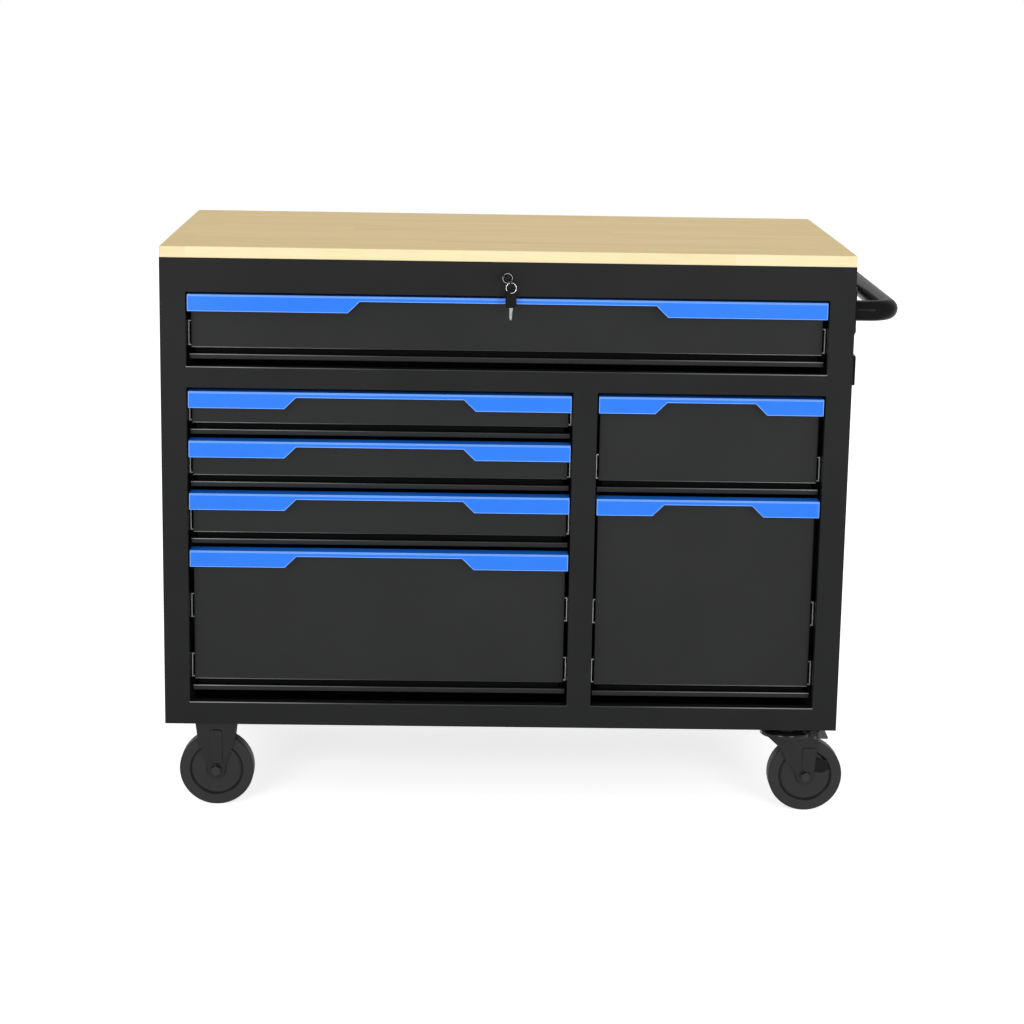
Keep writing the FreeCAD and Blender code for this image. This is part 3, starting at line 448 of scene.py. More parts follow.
class Finishes:
    """All finishes of the chest."""

    CABINET = Finish("black_powder_coat", (0.0056, 0.0060, 0.0058), (0.0080, 0.0084, 0.0082),
                     0.38, spread=0.02, bump=0.10, specular=0.14)
    DRAWER = Finish("black_drawer_coat", (0.0058, 0.0063, 0.0061), (0.0082, 0.0087, 0.0085),
                    0.34, spread=0.03, bump=0.08, specular=0.21)
    PULL = Finish("blue_powder_coat", (0.010, 0.172, 0.800), (0.014, 0.186, 0.830), 0.36,
                  bump=0.06, specular=0.30)
    HANDLE = Finish("gloss_black_coat", (0.0100, 0.0100, 0.0102), (0.0130, 0.0130, 0.0132),
                    0.14, spread=0.02, metallic=0.30, bump=0.03, specular=0.0)
    CASTER = Finish("black_caster_coat", (0.0056, 0.0060, 0.0056), (0.0080, 0.0084, 0.0080),
                    0.13, spread=0.03, bump=0.04, specular=0.24)
    # Near-black glossy lip: painted shade in the wheel's groove, glossy so the lamps still
    # glint on it.
    GROOVE_SHADE = Finish("groove_lip_painted_shade", (0.0020, 0.0020, 0.0022), (0.0030, 0.0030, 0.0032),
                        0.24, spread=0.03, effect=Effect.DRIFT, bump=0.04, specular=0.14)
    # Paler blue for the pull's edges: painted highlight.
    PULL_HIGHLIGHT = Finish("blue_coat_painted_highlight", (0.170, 0.380, 0.940), (0.190, 0.410, 0.955), 0.30,
                       bump=0.04, specular=0.40)
    ZINC = Finish("zinc_plate", (0.42, 0.42, 0.415), (0.33, 0.335, 0.34), 0.40, metallic=0.8,
                  effect=Effect.BRUSHED, bump=0.10)
    # Zinc slides coloured near black: painted shade in the gaps beside the drawers.
    SLIDE_SHADE = Finish("slide_painted_shade", (0.0040, 0.0040, 0.0042), (0.0060, 0.0060, 0.0062),
                   0.45, effect=Effect.BRUSHED, bump=0.08, specular=0.2)
    NICKEL = Finish("nickel_plate", (0.78, 0.77, 0.75), (0.66, 0.66, 0.65), 0.22, metallic=1.0,
                    effect=Effect.BRUSHED, bump=0.03)
    BOLT = Finish("black_bolt_coat", (0.0070, 0.0070, 0.0073), (0.0120, 0.0120, 0.0123), 0.14,
                  effect=Effect.BRUSHED, bump=0.06, specular=0.34)
    PEDAL = Finish("pedal_steel", (0.050, 0.051, 0.052), (0.030, 0.031, 0.032), 0.30,
                   metallic=0.5, effect=Effect.DRIFT, bump=0.15)
    TREAD = Finish("tread_rubber", (0.0175, 0.0177, 0.0177), (0.0210, 0.0212, 0.0212), 0.52,
                   effect=Effect.DRIFT, bump=0.10, specular=0.20)
    HUB = Finish("hub_plastic", (0.0135, 0.0139, 0.0137), (0.0160, 0.0164, 0.0160), 0.32,
                 effect=Effect.DRIFT, bump=0.05, specular=0.22)
    PLASTIC = Finish("moulded_black_plastic", (0.0020, 0.0020, 0.0022),
                     (0.0030, 0.0030, 0.0032), 0.14, effect=Effect.DRIFT, bump=0.04,
                     specular=0.12)
    SOCKET = Finish("outlet_plastic", (0.022, 0.022, 0.024), (0.028, 0.028, 0.030), 0.45,
                    effect=Effect.DRIFT, bump=0.06)
    ROCKER = Finish("red_rocker_plastic", (0.42, 0.015, 0.012), (0.46, 0.02, 0.015), 0.25,
                    effect=Effect.DRIFT, bump=0.03)
    # Near-black painted shade for recesses.
    RECESS_SHADE = Finish("recess_painted_shade", (0.0020, 0.0020, 0.0020), (0.0030, 0.0030, 0.0030), 0.8,
                  effect=Effect.DRIFT, bump=0.02, specular=0.05)
    WOOD = StaveWood()
    EDGE_HIGHLIGHT = PaintedEdgeHighlight()
    FLOOR = PaleFloor()


# Mesh making


def only(kind: Type, made: Dict[str, Iterable[object]]) -> List:
    """Give the elements of one kind from an operator's result."""
    return [element for element in made["geom"] if isinstance(element, kind)]


def flat(axis: str, value: float) -> EdgeTest:
    """Give the test for edges that lie square to an axis, at one place on the chest."""
    spot = level(axis, value)
    return lambda edge: all(abs(getattr(v.co, axis) - spot) < NEAR for v in edge.verts)


def steep(edge: Edge) -> bool:
    """Tell whether an edge is far from smooth."""
    return edge.calc_face_angle(0.0) > STEEP


def middle(face: Face) -> Vector:
    """Give the middle of a face."""
    return face.calc_center_median()


def depth(edge: Edge) -> float:
    """Give how far an edge reaches from front to back, in metres."""
    return abs(edge.verts[1].co.y - edge.verts[0].co.y)


def circle(x: float, y: float, radius: float, steps: int) -> List[Pair]:
    """Give the corners of a round outline."""
    return [(x + radius * math.cos(math.tau * k / steps),
             y + radius * math.sin(math.tau * k / steps)) for k in range(steps)]


def rounded(x0: float, x1: float, y0: float, y1: float, radius: float, steps: int = 6
            ) -> List[Pair]:
    """Give the corners of a rectangle with round corners.

    Args:
        x0: Low end of the first coordinate.
        x1: High end of the first coordinate.
        y0: Low end of the second coordinate.
        y1: High end of the second coordinate.
        radius: Radius of the corners.
        steps: Steps in each corner.

    Returns:
        The corners, counter-clockwise.
    """
    centres = ((x1 - radius, y1 - radius, 0), (x0 + radius, y1 - radius, 1),
               (x0 + radius, y0 + radius, 2), (x1 - radius, y0 + radius, 3))
    return [(cx + radius * math.cos(math.pi / 2 * (quarter + k / steps)),
             cy + radius * math.sin(math.pi / 2 * (quarter + k / steps)))
            for cx, cy, quarter in centres for k in range(steps + 1)]


def around(x: float, y: float, half: Pair, radius: float, steps: int = 6) -> List[Pair]:
    """Give a rounded rectangle of two half sizes around its middle."""
    return rounded(x - half[0], x + half[0], y - half[1], y + half[1], radius, steps)


class Mesh:
    """A mesh in the making, with the operations that the chest's pieces share."""

    def __init__(self) -> None:
        """Start with an empty mesh."""
        self.bm = bmesh.new()
        self.coats: List[Coating] = []

    def coat(self, finish: Coating, test: FaceTest) -> None:
        """Give some faces a further finish.

        Args:
            finish: The finish.
            test: Tells which faces get it.
        """
        self.coats.append(finish)
        self.bm.normal_update()
        for face in self.bm.faces:
            if test(face):
                face.material_index = len(self.coats)

    def chain(self, spots: Iterable[Vector], closed: bool = True
              ) -> Tuple[List[Vert], List[Edge]]:
        """Join points by edges.

        Args:
            spots: The points, in metres.
            closed: Whether the last point is joined to the first.

        Returns:
            The new vertices and the new edges.
        """
        verts = [self.bm.verts.new(spot) for spot in spots]
        ends = verts[1:] + verts[:1] if closed else verts[1:]
        return verts, [self.bm.edges.new(pair) for pair in zip(verts, ends)]

    def grow(self, faces: Sequence[Face], way: Vector) -> List[Vert]:
        """Extrude faces.

        Args:
            faces: The faces.
            way: How far and where to, in metres.

        Returns:
            The vertices of the moved end.
        """
        moved = only(Vert, bmesh.ops.extrude_face_region(self.bm, geom=faces))
        bmesh.ops.translate(self.bm, verts=moved, vec=way)
        return moved

    def prism(self, outline: Outline, axis: str, start: float, end: float,
              bevel: float = 0.0, segments: int = 3, pick: Optional[EdgeTest] = None,
              holes: Sequence[Outline] = ()) -> None:
        """Extrude an outline, with or without holes, in millimetres on the chest.

        Args:
            outline: Corners in the plane square to the axis, in the order of the axes left.
            axis: "x", "y" or "z".
            start: Where the outline starts along the axis.
            end: Where it ends.
            bevel: Radius of the rounded edges, or 0.
            segments: Steps of the rounding.
            pick: Which edges are rounded, or all sharp ones. With holes, the steep ones.
            holes: Corners of each hole.
        """
        index = "xyz".index(axis)
        loops = [[place(*pair[:index], start, *pair[index:]) for pair in loop]
                 for loop in (outline, *holes)]
        if holes:
            rims = [edge for loop in loops for edge in self.chain(loop)[1]]
            filled = bmesh.ops.triangle_fill(self.bm, edges=rims, use_beauty=True)
            faces = only(Face, filled)
            base = list({v for f in faces for v in f.verts})
            pick = steep
        else:
            base = [self.bm.verts.new(spot) for spot in loops[0]]
            faces = [self.bm.faces.new(base)]
        way = (ALONG_X, ALONG_Y, ALONG_Z)[index]
        verts = base + self.grow(faces, way * ((end - start) * MM))
        bmesh.ops.recalc_face_normals(self.bm, faces=list({f for v in verts
                                                           for f in v.link_faces}))
        if bevel > 0:
            self.soften({e for v in verts for e in v.link_edges}, bevel, segments, pick)

    def turn(self, centre: Vector, axis: str, degrees: float) -> None:
        """Turn the whole mesh about an axis through a point in metres."""
        bmesh.ops.rotate(self.bm, verts=self.bm.verts[:], cent=centre,
                         matrix=Matrix.Rotation(math.radians(degrees), 3, axis))

    def box(self, lo: Triple, hi: Triple, bevel: float = 0.0) -> None:
        """Add a box between two corners, in millimetres on the chest."""
        self.prism([(lo[0], lo[1]), (hi[0], lo[1]), (hi[0], hi[1]), (lo[0], hi[1])], "z",
                   lo[2], hi[2], bevel, 2)

    def soften(self, edges: Iterable[Edge], radius: float, segments: int,
               pick: Optional[EdgeTest] = None) -> None:
        """Round edges.

        Args:
            edges: The edges to choose from.
            radius: Radius in millimetres.
            segments: Steps of the rounding.
            pick: Which edges are rounded, or all that are sharp.
        """
        chosen = [edge for edge in edges
                  if len(edge.link_faces) == 2
                  and edge.calc_face_angle(0.0) >= SHARP
                  and (pick is None or pick(edge))]
        if chosen:
            bmesh.ops.bevel(self.bm, geom=chosen, offset=radius * MM, offset_type="OFFSET",
                            segments=segments, profile=0.5, affect="EDGES", material=-1,
                            clamp_overlap=True)

    def round_all(self, radius: float, segments: int, pick: EdgeTest) -> None:
        """Round those of all edges that a test picks."""
        self.soften(self.bm.edges[:], radius, segments, pick)

    def turned(self, outline: Outline, centre: Vector, axis: Vector, steps: int,
               closed: bool = True) -> None:
        """Spin an outline of (distance from the axis, place along it) all the way round.

        Args:
            outline: Points in millimetres.
            centre: A point on the axis, in metres.
            axis: The axis.
            steps: Steps round the axis.
            closed: Whether the outline closes on itself.
        """
        side = axis.orthogonal().normalized()
        verts, edges = self.chain((centre + side * (r * MM) + axis * (a * MM)
                                   for r, a in outline), closed)
        bmesh.ops.spin(self.bm, geom=verts + edges, cent=centre, axis=axis, angle=math.tau,
                       steps=steps, use_merge=True, use_duplicate=False)
        bmesh.ops.remove_doubles(self.bm, verts=self.bm.verts[:], dist=SAME)
        bmesh.ops.recalc_face_normals(self.bm, faces=self.bm.faces[:])

    def rod(self, radius: float, start: Vector, end: Vector, bevel: float, steps: int,
            nut: bool = False) -> None:
        """Add a rod between two points, with rounded rims.

        Args:
            radius: Radius in millimetres.
            start: One end, in metres.
            end: The other end, in metres.
            bevel: Rounding of the rims in millimetres.
            steps: Sides of the rod.
            nut: Whether its sides are flats, whose edges are rounded too.
        """
        way = end - start
        turn = way.to_track_quat("Z", "Y").to_matrix().to_4x4()
        made = bmesh.ops.create_cone(
            self.bm, cap_ends=True, cap_tris=False, segments=steps, radius1=radius * MM,
            radius2=radius * MM, depth=way.length,
            matrix=Matrix.Translation((start + end) / 2) @ turn)
        rims = {e for v in made["verts"] for e in v.link_edges
                if e.calc_face_angle(0.0) > RIM or nut}
        self.soften(rims, bevel, 2)

    def wire(self, points: Sequence[Vector], radius: float, steps: int) -> None:
        """Sweep a round wire along points in metres.

        Args:
            points: The wire's centre line.
            radius: Radius in millimetres.
            steps: Sides of the wire.
        """
        rings: List[List[Vert]] = []
        normal = ALONG_Z
        for index, point in enumerate(points):
            before = points[max(index - 1, 0)]
            after = points[min(index + 1, len(points) - 1)]
            way = (after - before).normalized()
            normal = (normal - way * normal.dot(way)).normalized()
            other = way.cross(normal)
            rings.append([
                self.bm.verts.new(point + (normal * math.cos(a) + other * math.sin(a))
                                  * (radius * MM))
                for a in (math.tau * k / steps for k in range(steps))])
        for first, second in zip(rings, rings[1:]):
            for k in range(steps):
                after = (k + 1) % steps
                self.bm.faces.new((first[k], first[after], second[after], second[k]))
        for ring in (rings[0], rings[-1]):
            self.bm.faces.new(ring)
        bmesh.ops.recalc_face_normals(self.bm, faces=self.bm.faces[:])

    def take(self, other: "Mesh") -> None:
        """Move another mesh into this one, and use it up."""
        data = bpy.data.meshes.new("part")
        other.bm.to_mesh(data)
        other.bm.free()
        self.bm.from_mesh(data)
        bpy.data.meshes.remove(data)

    def finish(self, name: str, finish: Coating, body: str, slot: str, *replaces: str,
               sharp: float = 40.0) -> None:
        """Turn the mesh into a piece of the chest.

        Args:
            name: The piece's name.
            finish: Its main finish.
            body: The body it rides on.
            slot: The record's material slot; not used.
            replaces: CAD nodes that it stands for.
            sharp: Angle in degrees past which an edge stays sharp.
        """
        self.bm.normal_update()
        for edge in self.bm.edges:
            edge.smooth = edge.calc_face_angle(0.0) < math.radians(sharp)
        for face in self.bm.faces:
            face.smooth = True
        mesh = bpy.data.meshes.new(name)
        self.bm.to_mesh(mesh)
        self.bm.free()
        for coating in (finish, *self.coats):
            mesh.materials.append(coating.build())
        obj = bpy.data.objects.new(name, mesh)
        bpy.context.scene.collection.objects.link(obj)
        obj.modifiers.new("weighted", "WEIGHTED_NORMAL").keep_sharp = True
        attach(obj, body)
        if replaces:
            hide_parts(*replaces)
        LOG.info("built %s on %s", name, body)


def dress(finish: Coating, *nodes: str) -> None:
    """Give CAD nodes a finish."""
    for name in nodes:
        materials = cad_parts[name].data.materials
        materials.clear()
        materials.append(finish.build())
        LOG.info("dressed %s", name)


# Sub-assemblies


@dataclass
class Drawer:
    """One drawer: its front, its box and its blue pull."""

    name: str
    left: float
    right: float
    top: float
    height: float
    land: float
    gap: float = 3.0
    panel_gap: float = 3.0
    set_back: float = 28.5
    groove: float = 8.0
    groove_height: float = 10.0
    lip: float = 9.5
    lip_proud: float = 3.5
    wall: float = 1.2
    slide: float = 12.7
    length: float = 548.0
    drop: float = 9.0
    flange: float = 7.0
    sheet_bevel: float = 0.4
    panel_bend: Round = (1.7, 4)
    lip_bend: Round = (1.5, 4)
    bend_middle: float = 0.8
    bend_reach: float = 1.6
    pull_thick: float = 2.0
    pull_depth: float = 30.0
    pull_full: float = 28.5
    pull_strip: float = 9.0
    pull_slope: float = 20.0
    pull_bend: float = 2.2
    pull_bend_steps: int = 5
    pull_edge: Round = (1.1, 3)
    pull_rim: float = 1.0

    def build(self) -> None:
        """Build the drawer's pieces, and dress its slides."""
        self.build_box()
        self.build_pull()
        # The inner slide members get the painted shade finish.
        dress(Finishes.SLIDE_SHADE, "drawer_slide_inner_" + self.name)
        dress(Finishes.ZINC, "drawer_slide_middle_" + self.name)

    @staticmethod
    def hook(front: float, back: float, end: float, high: float, low: float, t: float
             ) -> List[Pair]:
        """Give the section of a sheet that is bent back at the top and at the bottom.

        Args:
            front: Distance of its face behind the chest's front.
            back: Where its top ends.
            end: Where its bottom ends.
            high: Height of its top.
            low: Height of its bottom.
            t: Its thickness.

        Returns:
            The corners as (distance behind the front, height).
        """
        return [(back, high), (front, high), (front, low), (end, low), (end, low + t),
                (front + t, low + t), (front + t, high - t), (back, high - t)]

    def build_box(self) -> None:
        """Build the sheet steel box with its front panel, groove and lip."""
        mesh = Mesh()
        t = self.wall
        low = self.top - self.height
        lip_top = low + self.lip
        groove_top = lip_top + self.groove_height
        under = self.top - self.pull_thick
        back = self.set_back + self.groove
        lip_y = self.set_back - self.lip_proud
        side = self.gap + self.panel_gap
        mesh.prism(self.hook(self.set_back, back + t, back + t, under, groove_top, t), "x",
                   self.left + side, self.right - side, *self.panel_bend,
                   flat("y", self.set_back))
        mesh.prism(self.hook(lip_y, back + t, back, lip_top, low, t), "x",
                   self.left + self.gap, self.right - self.gap, *self.lip_bend,
                   flat("y", lip_y))
        x0, x1 = self.left + self.slide, self.right - self.slide
        y1 = back + self.length
        wall_top = self.top - self.drop
        bevel = self.sheet_bevel
        mesh.box((x0, back, lip_top - t), (x1, y1, lip_top))
        mesh.box((x0, back, lip_top - t), (x1, back + t, groove_top + t))
        mesh.box((x0, back, groove_top + t), (x1, back + t, under - t))
        mesh.box((x0, y1 - t, lip_top), (x1, y1, wall_top), bevel)
        for x in (x0, x1 - t):
            mesh.box((x, back + t, lip_top), (x + t, y1 - t, wall_top), bevel)
        for low_x, high_x in ((x0, x0 + self.flange), (x1 - self.flange, x1)):
            mesh.box((low_x, back + t, wall_top - t), (high_x, y1 - t, wall_top), bevel)
        # Painted shade: the faces inside the groove get the near-black recess finish.
        near, far = level("y", lip_y + t + 0.2), level("y", back + 0.1)
        floor, roof = level("z", lip_top - 0.3), level("z", groove_top + 0.3)
        mesh.coat(Finishes.RECESS_SHADE, lambda f: (near < middle(f).y < far
                                            and floor < middle(f).z < roof))
        # Painted highlight on the panel's lower bend and the lip's top bend.
        inset = self.bend_middle
        bends = [(place(0, self.set_back + inset, groove_top + inset), -1.0),
                 (place(0, lip_y + inset, lip_top - inset), 1.0)]
        mesh.coat(Finishes.EDGE_HIGHLIGHT, lambda f: f.normal.y < -0.2 and any(
            (middle(f) - spot).yz.length < self.bend_reach * MM
            and 0.03 < f.normal.z * up < 0.97 for spot, up in bends))
        mesh.finish("front_and_box_" + self.name, Finishes.DRAWER, "drawer_" + self.name,
                    "black_paint", "drawer_box_" + self.name)

    def build_pull(self) -> None:
        """Build the bent blue pull, full height at its ends and shallow between them."""
        mesh = Mesh()
        bm = mesh.bm
        thick, radius = self.pull_thick, self.pull_bend
        starts = [self.gap, self.gap + self.land, self.gap + self.land + self.pull_slope]
        heights = [self.pull_full, self.pull_full, self.pull_strip]
        stations = [(self.left + reach, height) for reach, height in zip(starts, heights)]
        stations += [(self.right - reach, height)
                     for reach, height in reversed(list(zip(starts, heights)))]
        steps = self.pull_bend_steps
        arc = [(radius - radius * math.cos(a), self.top - radius + radius * math.sin(a))
               for a in (math.pi / 2 * k / steps for k in range(steps + 1))]
        x, height = stations[0]
        section = [(0.0, self.top - height), *arc, (self.pull_depth, self.top),
                   (self.pull_depth, self.top - thick), (thick, self.top - thick),
                   (thick, self.top - height)]
        face = bm.faces.new([bm.verts.new(place(x, y, z)) for y, z in section])
        lip = level("y", thick) + SAME
        for next_x, next_height in stations[1:]:
            made = bmesh.ops.extrude_face_region(bm, geom=[face])
            verts, face = only(Vert, made), only(Face, made)[0]
            bmesh.ops.translate(bm, verts=verts, vec=ALONG_X * ((next_x - x) * MM))
            floor = level("z", self.top - height)
            lows = [v for v in verts if abs(v.co.z - floor) < SAME and v.co.y < lip]
            bmesh.ops.translate(bm, verts=lows, vec=ALONG_Z * ((height - next_height) * MM))
            x, height = next_x, next_height
        ends = [level("x", station[0]) for station in (stations[0], stations[-1])]
        for extra in [f for f in bm.faces if len(f.verts) == len(section)]:
            if all(abs(middle(extra).x - end) >= SAME for end in ends):
                bmesh.ops.delete(bm, geom=[extra], context="FACES_ONLY")
        bmesh.ops.recalc_face_normals(bm, faces=bm.faces[:])
        front = level("y", 0) + (thick + 0.1) * MM
        under = level("z", self.top - thick - 0.1)
        mesh.round_all(*self.pull_edge, lambda e: (
            all(v.co.y < front and v.co.z < under for v in e.verts)))
        # Painted highlight: the face's rim and its slanted bevels get a paler blue.
        near = level("y", 1.6)
        bm.normal_update()
        faces = [f for f in bm.faces if f.normal.y < -0.999 and middle(f).y < near]
        rim = set(bmesh.ops.inset_region(bm, faces=faces, thickness=self.pull_rim * MM,
                                         depth=0.0, use_boundary=True,
                                         use_even_offset=True)["faces"])
        mesh.coat(Finishes.PULL_HIGHLIGHT, lambda f: f in rim or (
            middle(f).y < near and -0.96 < f.normal.y < -0.3))
        mesh.finish("pull_" + self.name, Finishes.PULL, "drawer_" + self.name, "blue_paint",
                    "drawer_pull_" + self.name, sharp=32.0)


@dataclass
class Cabinet:
    """The cabinet's shell, the painted face of its front frame, and the worktop."""

    shell: Tuple[str, ...] = ("left_side_panel", "right_side_panel", "back_panel",
                              "bottom_panel", "top_panel", "top_fascia", "middle_rail",
                              "bottom_rail", "center_divider", "slide_posts")
    half: float = 584.0
    low: float = 158.0
    high: float = 969.0
    corner: float = 0.6
    hole_corner: float = 0.8
    skin: float = 0.5
    skin_back: float = 1.6
    skin_bend: Round = (1.5, 4)
    rim_bend: Round = (0.5, 4)
    rim: float = 10.0
    openings: Sequence[Row] = (
        (-541.0, 541.0, 785.0, 911.5), (-541.0, 112.7, 197.5, 749.5),
        (153.7, 541.0, 197.5, 749.5))

    def build(self) -> None:
        """Dress the shell, the slides and the worktop, and build the frame's face."""
        dress(Finishes.CABINET, *self.shell)
        dress(Finishes.WOOD, "wood_worktop")
        # The outer slide members get the painted shade finish.
        dress(Finishes.SLIDE_SHADE, "outer_slide_members")
        dress(Finishes.BOLT, "fasteners")
        self.build_frame_face()

    def build_frame_face(self) -> None:
        """Build the painted face over the welded joints, with rolled edges."""
        mesh = Mesh()
        t = self.skin
        holes = [rounded(x0 + t, x1 - t, z0 + t, z1 - t, self.hole_corner, 2)
                 for x0, x1, z0, z1 in self.openings]
        mesh.prism(rounded(-self.half, self.half, self.low, self.high, self.corner, 2), "y",
                   -t, self.skin_back, holes=holes)
        front = flat("y", -t)
        centre, reach = level("x", 0), (self.half - self.rim) * MM
        floor, roof = level("z", self.low + self.rim), level("z", self.high - self.rim)

        def inner(edge: Edge) -> bool:
            """Tell whether a front edge belongs to an opening."""
            spot = (edge.verts[0].co + edge.verts[1].co) / 2
            return abs(spot.x - centre) < reach and floor < spot.z < roof

        for bend, opening in ((self.skin_bend, True), (self.rim_bend, False)):
            mesh.round_all(*bend, lambda e: steep(e) and inner(e) == opening and front(e))
        # Painted highlight on the upward-facing bevels of the openings, paler towards the
        # chest's ends.
        outside, inside = (level("x", x) for x in self.openings[0][:2])
        mesh.coat(Finishes.EDGE_HIGHLIGHT, lambda f: (
            f.normal.z > 0.1 and f.normal.y < -0.1
            and outside < middle(f).x < inside))
        mesh.finish("front_frame_face", Finishes.CABINET, "cabinet", "black_paint")


@dataclass
class SideHandle:
    """The tubular handle with its two plates."""

    wall_x: float = 584.0
    face_x: float = 588.0
    height: float = 891.0
    rows: Pair = (38.0, 584.0)
    half: Pair = (27.0, 45.0)
    corner: float = 26.5
    edge: Round = (0.9, 3)
    tube: float = 17.5
    weld: Outline = ((-0.3, 3.9), (2.4, 3.9), (1.6, 5.0), (0.5, 5.7), (-0.3, 6.1))

    def build(self) -> None:
        """Build the plates and the welds, and dress the tube."""
        dress(Finishes.HANDLE, "handle_tube")
        mesh = Mesh()
        for y in self.rows:
            mesh.prism(around(y, self.height, self.half, self.corner, 14), "x", self.wall_x,
                       self.face_x, *self.edge)
            mesh.turned([(self.tube + out, x) for out, x in self.weld],
                        place(self.wall_x, y, self.height), ALONG_X, 64)
        mesh.finish("handle_plates", Finishes.HANDLE, "cabinet", "gloss_black",
                    "handle_brackets")


@dataclass
class PowerStrip:
    """The power strip on the right side."""

    wall_x: float = 584.0
    face_x: float = 614.0
    span: Pair = (160.0, 462.0)
    tall: Pair = (742.0, 794.0)
    cap: float = 3.0
    cap_corner: float = 2.5
    cap_edge: Round = (0.8, 2)
    shell_corner: float = 0.5
    face_corner: float = 2.0
    face_edge: Round = (0.7, 2)
    sink: float = 2.0
    outlets: Row = tuple(236.0 + 37.0 * k for k in range(6))
    outlet_half: Pair = (13.5, 17.0)
    outlet_corner: float = 3.0
    insert_half: Pair = (13.1, 16.6)
    insert_corner: float = 2.8
    insert_edge: Round = (0.25, 2)
    insert_rise: Pair = (0.05, 1.1)
    line_slot: Row = (-8.0, -1.0, 5.2, 7.4)
    return_slot: Row = (-7.5, -1.5, -7.2, -5.2)
    slot_corner: float = 0.4
    earth_hole: Pair = (6.0, 2.5)
    rocker_y: float = 192.0
    rocker_half: Pair = (10.5, 7.5)
    rocker_corner: float = 0.8
    rocker_sink: float = 9.0
    gland: Outline = (
        (0.0, 0.0), (8.0, 0.0), (8.0, 3.0), (6.6, 3.6), (6.6, 6.0), (5.8, 6.6), (5.8, 8.6),
        (5.0, 9.2), (5.0, 12.0), (3.4, 12.0), (3.4, 7.0), (0.0, 7.0))

    def build(self) -> None:
        """Build the housing and the sockets, and dress the switch."""
        dress(Finishes.ROCKER, "power_strip_switch")
        self.build_housing()
        self.build_sockets()

    def build_housing(self) -> None:
        """Build the housing with its face plate, its end caps and the cord gland."""
        mesh = Mesh()
        front, rear = self.span
        height = sum(self.tall) / 2
        inside = (front + self.cap, rear - self.cap, *self.tall)
        face = self.face_x - self.sink
        inner = self.face_x - self.rocker_sink
        hole = around(self.rocker_y, height, self.rocker_half, self.rocker_corner, 2)
        shell = rounded(*inside, self.shell_corner, 2)
        mesh.prism(shell, "x", self.wall_x, inner)
        mesh.prism(shell, "x", inner, face, holes=[hole])
        holes = [around(y, height, self.outlet_half, self.outlet_corner, 4)
                 for y in self.outlets]
        mesh.prism(rounded(*inside, self.face_corner, 3), "x", face, self.face_x,
                   *self.face_edge, holes=[hole, *holes])
        for start, end in ((front, front + self.cap), (rear - self.cap, rear)):
            mesh.prism(rounded(self.wall_x, self.face_x, *self.tall, self.cap_corner, 4),
                       "y", start, end, *self.cap_edge)
        mesh.turned(self.gland, place((self.wall_x + self.face_x) / 2, rear, height),
                    ALONG_Y, 48, False)
        mesh.finish("strip_housing", Finishes.HANDLE, "cabinet", "gloss_black",
                    "power_strip_housing")

    def build_sockets(self) -> None:
        """Build the outlet inserts with their slots."""
        mesh = Mesh()
        height = sum(self.tall) / 2
        start, end = (self.face_x - self.sink + rise for rise in self.insert_rise)
        for y in self.outlets:
            slots = [rounded(y + y0, y + y1, height + z0, height + z1, self.slot_corner, 2)
                     for y0, y1, z0, z1 in (self.line_slot, self.return_slot)]
            slots.append(circle(y + self.earth_hole[0], height, self.earth_hole[1], 20))
            mesh.prism(around(y, height, self.insert_half, self.insert_corner, 4), "x",
                       start, end, *self.insert_edge, holes=slots)
        mesh.finish("outlet_inserts", Finishes.SOCKET, "cabinet", "gloss_black",
                    "power_strip_housing")


